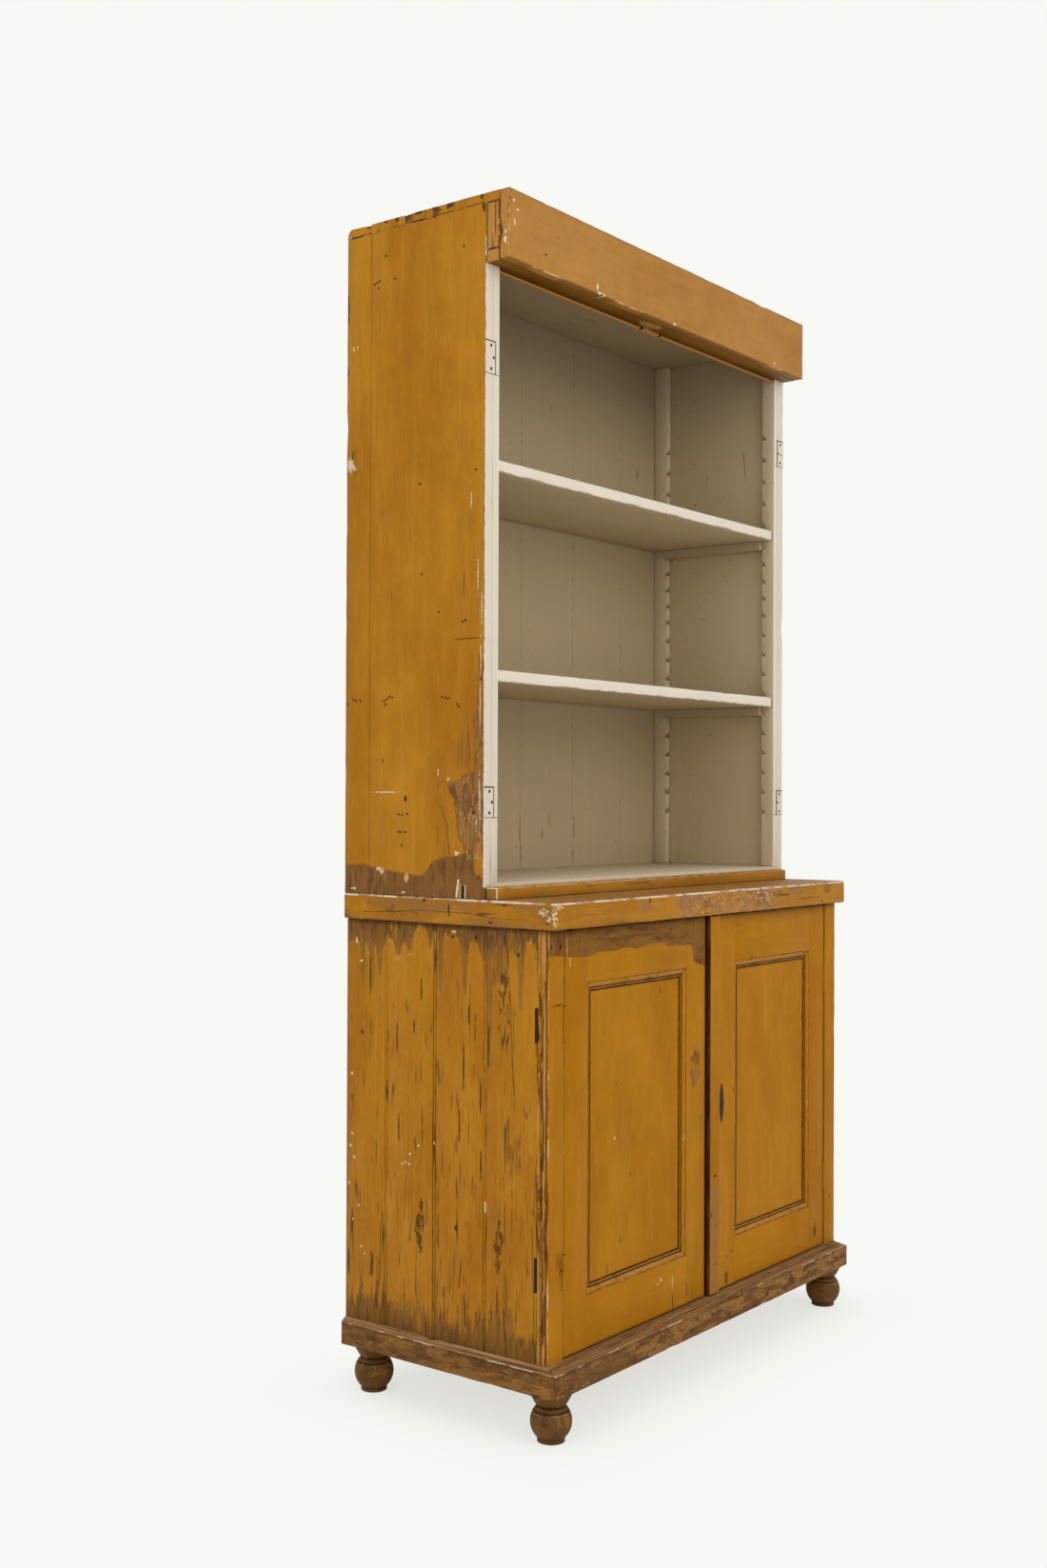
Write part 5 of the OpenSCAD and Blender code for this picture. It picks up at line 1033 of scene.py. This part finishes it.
def hinge_leaf_finish():
    """Leaves painted over, with a dark line where they end."""
    f = Finish("old_leaf_cream")
    f.coat(cream_paint(f, "Z", CREAM, 0.05, 5))
    inner_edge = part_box("old_hinge_leaves")[1][0] - 0.026
    f.mark(abs(f.x).rise(inner_edge + 0.003, inner_edge + 0.0016), CRACK, 0.9)
    low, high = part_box("old_hinge_leaves")
    ends = [(low[2], 0.001), (low[2] + 0.053, 0.0024), (UPPER_LEAF_LOW, 0.001), (high[2], 0.0024)]
    lines = f.most(*[abs(f.z - z).rise(wide, wide - 0.0007) for z, wide in ends])
    f.mark(lines, CRACK)
    holes = [((side * x, SHELVES_FRONT, z), (0.0031, 0.02, 0.0031)) for side in (-1, 1) for x, z in
             [(0.507, 1.048), (0.5002, 1.0665), (0.507, 1.085), (0.507, 1.8105), (0.5002, 1.8305),
              (0.507, 1.8505)]]
    f.mark(f.spots(holes, 0.08, 300), tone(16, 11, 8))
    return f.finish(0.0003)


def shelf_finish():
    f = Finish("shelf_cream")
    # Painted light and shade: lighter cream on the front edge, a darker copy of it behind.
    f.coat(cream_paint(f, "X", LIT_EDGE_CREAM, 0.2, 2))
    shaded_inside = cream_paint(f, "X", SHADED_INNER_CREAM, 0.1, 2)[0]
    f.mark(f.y.rise(SHELVES_FRONT + 0.0045, SHELVES_FRONT + 0.007), shaded_inside)
    front = f.y.rise(SHELVES_FRONT + 0.005, SHELVES_FRONT + 0.0038)
    lows = [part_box(shelf)[0][2] for shelf in ("lower_shelf", "upper_shelf")]
    foot = f.most(*[f.z.ragged(60, 0.0012).rise(low + 0.0026, low + 0.0014)
                    * f.z.rise(low - 0.01, low - 0.005) * front for low in lows])
    chipped = f.strands("X", 50, 0.4, 4).rise(0.5, 0.58)
    f.mark(foot * chipped, VARNISH, 0.6)
    return f.finish(0.0004)


# Cream inside, in one of the copies of the cream that carry painted shade.
def inner_finish(name, grain, shift=0, base=SHADED_INNER_CREAM):
    f = Finish(name)
    f.coat(cream_paint(f, grain, base, shift=shift))
    return f.finish(0.0004)


def back_finish():
    """Back boards: painted shade as darker cream in front, darker still towards the ceiling, brown at the foot
    of the joints, bare pine behind.
    """
    f = Finish("back_board_cream")
    # Painted shade: a darker copy of the cream, with shade in the corners.
    f.coat(cream_paint(f, "Z", SHADED_INNER_CREAM, 0.1, 4, 0.3))
    # Painted shade: darker towards the ceiling.
    ceiling_shade = f.z.rise(1.8, CEILING, "LINEAR")
    f.fade(1 - ceiling_shade * 0.3)
    streaks = f.spots(on_front(BACK_FACE, [(-16, 1010, 30), (174, 1008, 26), (-12, 960, 25), (172, 950, 18),
                                           (60, 1000, 12), (85, 1030, 18), (-100, 985, 10)], 2.2), 0.4, 70)
    f.mark(streaks, VARNISH, 0.6)
    f.mark(f.y.rise(0.2305, 0.2315), bare_pine(f, "Z")[0])
    return f.finish(0.0004)


def pine_finish(name, grain):
    f = Finish(name)
    f.coat(bare_pine(f, grain))
    return f.finish(0.0004)


def iron_finish():
    f = Finish("dark_iron")
    rust = f.noise(f.place, 160, 4, 0.65)
    f.coat((f.mix(rust.rise(0.52, 0.72), IRON, RUST), 0.5 + rust * 0.3, rust))
    f.shader.inputs["Metallic"].default_value = 0.4
    return f.finish(0.0002, 0.4)


# Pieces

def owner(node):
    for body, nodes in frame["record"]["behaviour"]["bodies"].items():
        if node in nodes:
            return body
    raise ValueError(node)


def deselect():
    bpy.ops.object.select_all(action="DESELECT")


def take_up(piece):
    deselect()
    piece.select_set(True)
    bpy.context.view_layer.objects.active = piece


def cut_across(mesh_low, mesh_high, pitch):
    """Cuts the open mesh at uneven steps, so that its arrises can be dented."""
    for axis in range(3):
        length = mesh_high[axis] - mesh_low[axis]
        steps = int(length / pitch)
        normal = [0.0, 0.0, 0.0]
        normal[axis] = 1.0
        for i in range(1, steps):
            at = [0.0, 0.0, 0.0]
            uneven = noise.noise(Vector((i * 7.3, axis * 3.1, 0.5)))
            at[axis] = mesh_low[axis] + length * (i + 0.35 * uneven) / steps
            bpy.ops.mesh.select_all(action="SELECT")
            bpy.ops.mesh.bisect(plane_co=at, plane_no=normal)


def dent_arrises(mesh, wobble, chips):
    """Moves the points of sharp edges inwards, a little everywhere and more at chips."""
    face_normals = {}
    for polygon in mesh.polygons:
        for key in polygon.edge_keys:
            face_normals.setdefault(key, []).append(polygon.normal.copy())
    sharp = set()
    for key, normals in face_normals.items():
        if len(normals) == 2 and normals[0].dot(normals[1]) < 0.7:
            sharp.update(key)
    normals = [vertex.normal.copy() for vertex in mesh.vertices]
    for index in sorted(sharp):
        vertex = mesh.vertices[index]
        place = vertex.co * 38.0
        worn = abs(noise.noise(place)) * wobble * 2
        chip = max(0.0, noise.noise(place * 1.9 + Vector((9, 4, 2))) - 0.42) * chips * 4
        vertex.co -= normals[index] * (worn + chip)


def worn_board(node, arris=0.0015, pitch=0.0, wobble=0.0004, chips=0.0, segments=2):
    """The board that a node describes, with its arrises broken, and dented along them by years of use.
    pitch is the distance of the cuts that the dents follow."""
    source = frame["nodes"][node]
    piece = bpy.data.objects.new("worn_" + node, source.data.copy())
    piece.data.materials.clear()
    bpy.context.collection.objects.link(piece)
    take_up(piece)
    bpy.ops.object.mode_set(mode="EDIT")
    bpy.ops.mesh.select_all(action="SELECT")
    bpy.ops.mesh.remove_doubles(threshold=0.00001)
    bpy.ops.mesh.dissolve_limited(angle_limit=math.radians(1.0))
    if pitch:
        cut_across(*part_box(node), pitch)
    bpy.ops.object.mode_set(mode="OBJECT")
    if pitch:
        dent_arrises(piece.data, wobble, chips)
    if arris:
        bevel = piece.modifiers.new("broken_arris", "BEVEL")
        bevel.width = arris
        bevel.segments = segments
        bevel.limit_method = "ANGLE"
        bevel.angle_limit = math.radians(40)
        bevel.miter_outer = "MITER_ARC"
        take_up(piece)
        bpy.ops.object.modifier_apply(modifier=bevel.name)
    take_up(piece)
    bpy.ops.object.shade_smooth_by_angle(angle=math.radians(35))
    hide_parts(node)
    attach(piece, owner(node))
    for part in frame["record"]["subparts"]:
        part["node"] == node
    return piece


def paint_piece(piece, material):
    piece.data.materials.clear()
    piece.data.materials.append(material)


def paint_node(node, material):
    target = frame["nodes"][node]
    if not target.material_slots:
        target.data.materials.append(material)
    for slot in target.material_slots:
        slot.material = material


left_upright = door_finish("left_door_upright_paint", "Z", True, shift=2.0)
left_across = door_finish("left_door_rail_paint", "X", True, shift=4.0)
right_upright = door_finish("right_door_upright_paint", "Z", False, shift=2.5)
right_across = door_finish("right_door_rail_paint", "X", False, shift=4.5)
shelf_cream, rack_cream, feet_paint, iron = shelf_finish(), front_cream_finish(), foot_finish(), iron_finish()

# How each board's arrises are broken and dented, with its finish
PLINTH_WEAR = dict(arris=0.0016, pitch=0.022, wobble=0.0004, chips=0.0016)
CORNER_WEAR = dict(arris=0.0008, pitch=0.03, wobble=0.0006, chips=0.002)
SIDE_WEAR = dict(arris=0.0015, pitch=0.03, wobble=0.0006, chips=0.003)
SHELF_WEAR = dict(arris=0.0012, pitch=0.03, wobble=0.0002, chips=0.0014)
BOARDS = [
    (("worktop",), worktop_finish(), dict(arris=0.003, pitch=0.022, wobble=0.0009, chips=0.005, segments=3)),
    (("plinth_front",), plinth_finish("plinth_front_paint", "X", 18.0), PLINTH_WEAR),
    (("plinth_left", "plinth_right"), plinth_finish("plinth_side_paint", "Y", 19.0), PLINTH_WEAR),
    (("base_side_left",), base_side_finish(True), dict(arris=0.0005)),
    (("base_side_right",), base_side_finish(False), dict(arris=0.0005)),
    (("corner_stile_left",), corner_stile_finish(True), CORNER_WEAR),
    (("corner_stile_right",), corner_stile_finish(False), CORNER_WEAR),
    (("left_door_hinge_stile",), left_upright, dict(arris=0.001)),
    (("left_door_meeting_stile",), left_upright, dict(arris=0.0005)),
    (("left_door_top_rail", "left_door_bottom_rail"), left_across, dict(arris=0.0006)),
    (("right_door_hinge_stile", "right_door_meeting_stile"), right_upright, dict(arris=0.001)),
    (("right_door_top_rail", "right_door_bottom_rail"), right_across, dict(arris=0.0006)),
    (("left_door_moulding",), moulding_finish("left_door_moulding"), dict(arris=0.0004, segments=1)),
    (("right_door_moulding",), moulding_finish("right_door_moulding"), dict(arris=0.0004, segments=1)),
    (("cover_batten",), batten_finish(), dict(arris=0.0, pitch=0.03, wobble=0.0006, chips=0.002)),
    (("upper_side_left",), upper_side_finish(True), SIDE_WEAR),
    (("upper_side_right",), upper_side_finish(False), SIDE_WEAR),
    (("upper_top",), upper_top_finish(), dict(arris=0.001)),
    (("fascia_board",), fascia_finish(), dict(arris=0.002, pitch=0.022, wobble=0.0007, chips=0.003)),
    (("fascia_returns",), fascia_end_finish(), dict(arris=0.001)),
    (("soffit_strip",), soffit_finish(), dict(arris=0.0008)),
    (("head_rail",), head_rail_finish("head_rail_paint"), dict(arris=0.0012)),
    (("catch_block",), head_rail_finish("catch_block_paint"), dict(arris=0.0006)),
    (("foot_rail",), foot_rail_finish(), dict(arris=0.0015, pitch=0.022, wobble=0.0007, chips=0.003)),
    (("front_racks", "back_racks"), rack_cream, dict(arris=0.0006)),
    (("lower_shelf", "upper_shelf"), shelf_cream, SHELF_WEAR),
    (("upper_floor",), inner_finish("floor_cream", "X", 3.0, SHADED_FLOOR_CREAM), dict(arris=0.0008)),
    (("old_hinge_leaves",), hinge_leaf_finish(), dict(arris=0.0003, segments=1)),
    (("escutcheon",), iron, dict(arris=0.0004)),
    (("foot_front_left", "foot_front_right", "foot_rear_left", "foot_rear_right"), feet_paint, dict(arris=0.0)),
]
for nodes, material, wear in BOARDS:
    for node in nodes:
        paint_piece(worn_board(node, **wear), material)

# Parts that keep the shape of their node
KEPT = [
    (("upper_back",), back_finish()),
    (("lower_shelf_bearers", "upper_shelf_bearers"), inner_finish("bearer_cream", "Y", 5.0)),
    (("upper_ceiling",), inner_finish("ceiling_cream", "X", 6.0, SHADED_CEILING_CREAM)),
    (("left_door_panel",), panel_finish("left_panel_paint", 6.0)),
    (("right_door_panel",), panel_finish("right_panel_paint", 6.5)),
    (("base_top_rails", "base_shelf", "base_floor"), pine_finish("pine_across", "X")),
    (("base_back", "foot_blocks"), pine_finish("pine_upright", "Z")),
    (("base_shelf_cleats",), pine_finish("pine_deep", "Y")),
    (("hinge_fixed_leaves", "hinge_pins", "left_door_hinge_leaves", "right_door_hinge_leaves"),
     painted_iron_finish()),
    (("lock_case", "lock_bolt", "slide_bolt_top", "slide_bolt_bottom", "slide_bolt_guides"), iron),
]
for nodes, material in KEPT:
    for node in nodes:
        paint_node(node, material)


# Studio

BACKGROUND = tone(248, 249, 244)


def studio_floor():
    """A pale disc that takes the cabinet's shadow and runs out into the background."""
    bpy.ops.mesh.primitive_circle_add(vertices=96, radius=9.0, fill_type="NGON", location=(0, 0, 0))
    floor = bpy.context.active_object
    floor.name = "studio_floor"
    f = Finish("studio_floor")
    f.shader.inputs["Roughness"].default_value = 1.0
    f.shader.inputs["Specular IOR Level"].default_value = 0.0
    f.shader.inputs["Base Color"].default_value = tone(252, 253, 251)
    plain = f.add("ShaderNodeEmission")
    plain.inputs["Color"].default_value = BACKGROUND
    beside = f.most(abs(f.x) - cad_box[1][0], 0.0)
    before = f.most(abs(f.y) - cad_box[1][1], 0.0)
    distance = f.sum("SQRT", beside * beside + before * before)
    far = distance.rise(-0.32, 0.20)
    rays = f.add("ShaderNodeLightPath")
    seen = rays.outputs["Is Camera Ray"] * (0.12 + far * 0.88)
    blend = f.add("ShaderNodeMixShader")
    f.join(seen, blend.inputs[0])
    f.tree.links.new(f.shader.outputs["BSDF"], blend.inputs[1])
    f.tree.links.new(plain.outputs[0], blend.inputs[2])
    output = [n for n in f.tree.nodes if n.bl_idname == "ShaderNodeOutputMaterial"][0]
    f.tree.links.new(blend.outputs[0], output.inputs["Surface"])
    floor.data.materials.append(f.material)


def studio_world():
    """Even light from all round, with the background's own colour where the camera looks past the cabinet."""
    world = bpy.data.worlds.new("studio")
    bpy.context.scene.world = world
    world.use_nodes = True
    tree = world.node_tree
    tree.nodes.clear()
    output = tree.nodes.new("ShaderNodeOutputWorld")
    light = tree.nodes.new("ShaderNodeBackground")
    light.inputs["Color"].default_value = (1.0, 1.0, 0.99, 1.0)
    light.inputs["Strength"].default_value = 0.80
    seen = tree.nodes.new("ShaderNodeBackground")
    seen.inputs["Color"].default_value = BACKGROUND
    seen.inputs["Strength"].default_value = 1.0
    rays = tree.nodes.new("ShaderNodeLightPath")
    blend = tree.nodes.new("ShaderNodeMixShader")
    tree.links.new(rays.outputs["Is Camera Ray"], blend.inputs[0])
    tree.links.new(light.outputs[0], blend.inputs[1])
    tree.links.new(seen.outputs[0], blend.inputs[2])
    tree.links.new(blend.outputs[0], output.inputs["Surface"])


def soft_lamp(name, place, target, size, power, colour=(1.0, 0.99, 0.97)):
    lamp = bpy.data.lights.new(name, "AREA")
    lamp.shape = "RECTANGLE"
    lamp.size, lamp.size_y = size
    lamp.energy = power
    lamp.color = colour
    holder = bpy.data.objects.new(name, lamp)
    holder.location = place
    holder.rotation_euler = (Vector(target) - Vector(place)).to_track_quat("-Z", "Y").to_euler()
    bpy.context.collection.objects.link(holder)


def photo_camera():
    yaw, pitch, roll = (math.radians(a) for a in (37.572, 0.498, 0.236))
    ahead = Vector((math.cos(pitch) * math.cos(yaw), math.cos(pitch) * math.sin(yaw), math.sin(pitch)))
    level = Vector((math.sin(yaw), -math.cos(yaw), 0.0))
    upward = level.cross(ahead)
    right = math.cos(roll) * level + math.sin(roll) * upward
    above = -math.sin(roll) * level + math.cos(roll) * upward
    camera = bpy.data.cameras.new("photo_camera")
    camera.sensor_width = 36.0
    camera.lens = 38.61
    holder = bpy.data.objects.new("photo_camera", camera)
    turn = Matrix((right, above, -ahead)).transposed()
    holder.matrix_world = Matrix.Translation((-2.7531, -1.8861, 1.0729)) @ turn.to_4x4()
    bpy.context.collection.objects.link(holder)
    bpy.context.scene.camera = holder


studio_floor()
studio_world()
soft_lamp("front_lamp", (-0.8, -3.6, 2.9), (0.0, 0.0, 1.0), (2.6, 2.2), 34)
soft_lamp("left_lamp", (-3.8, -0.4, 2.6), (0.0, 0.0, 1.0), (2.4, 2.2), 24)
photo_camera()
bpy.context.scene.view_settings.view_transform = "Standard"
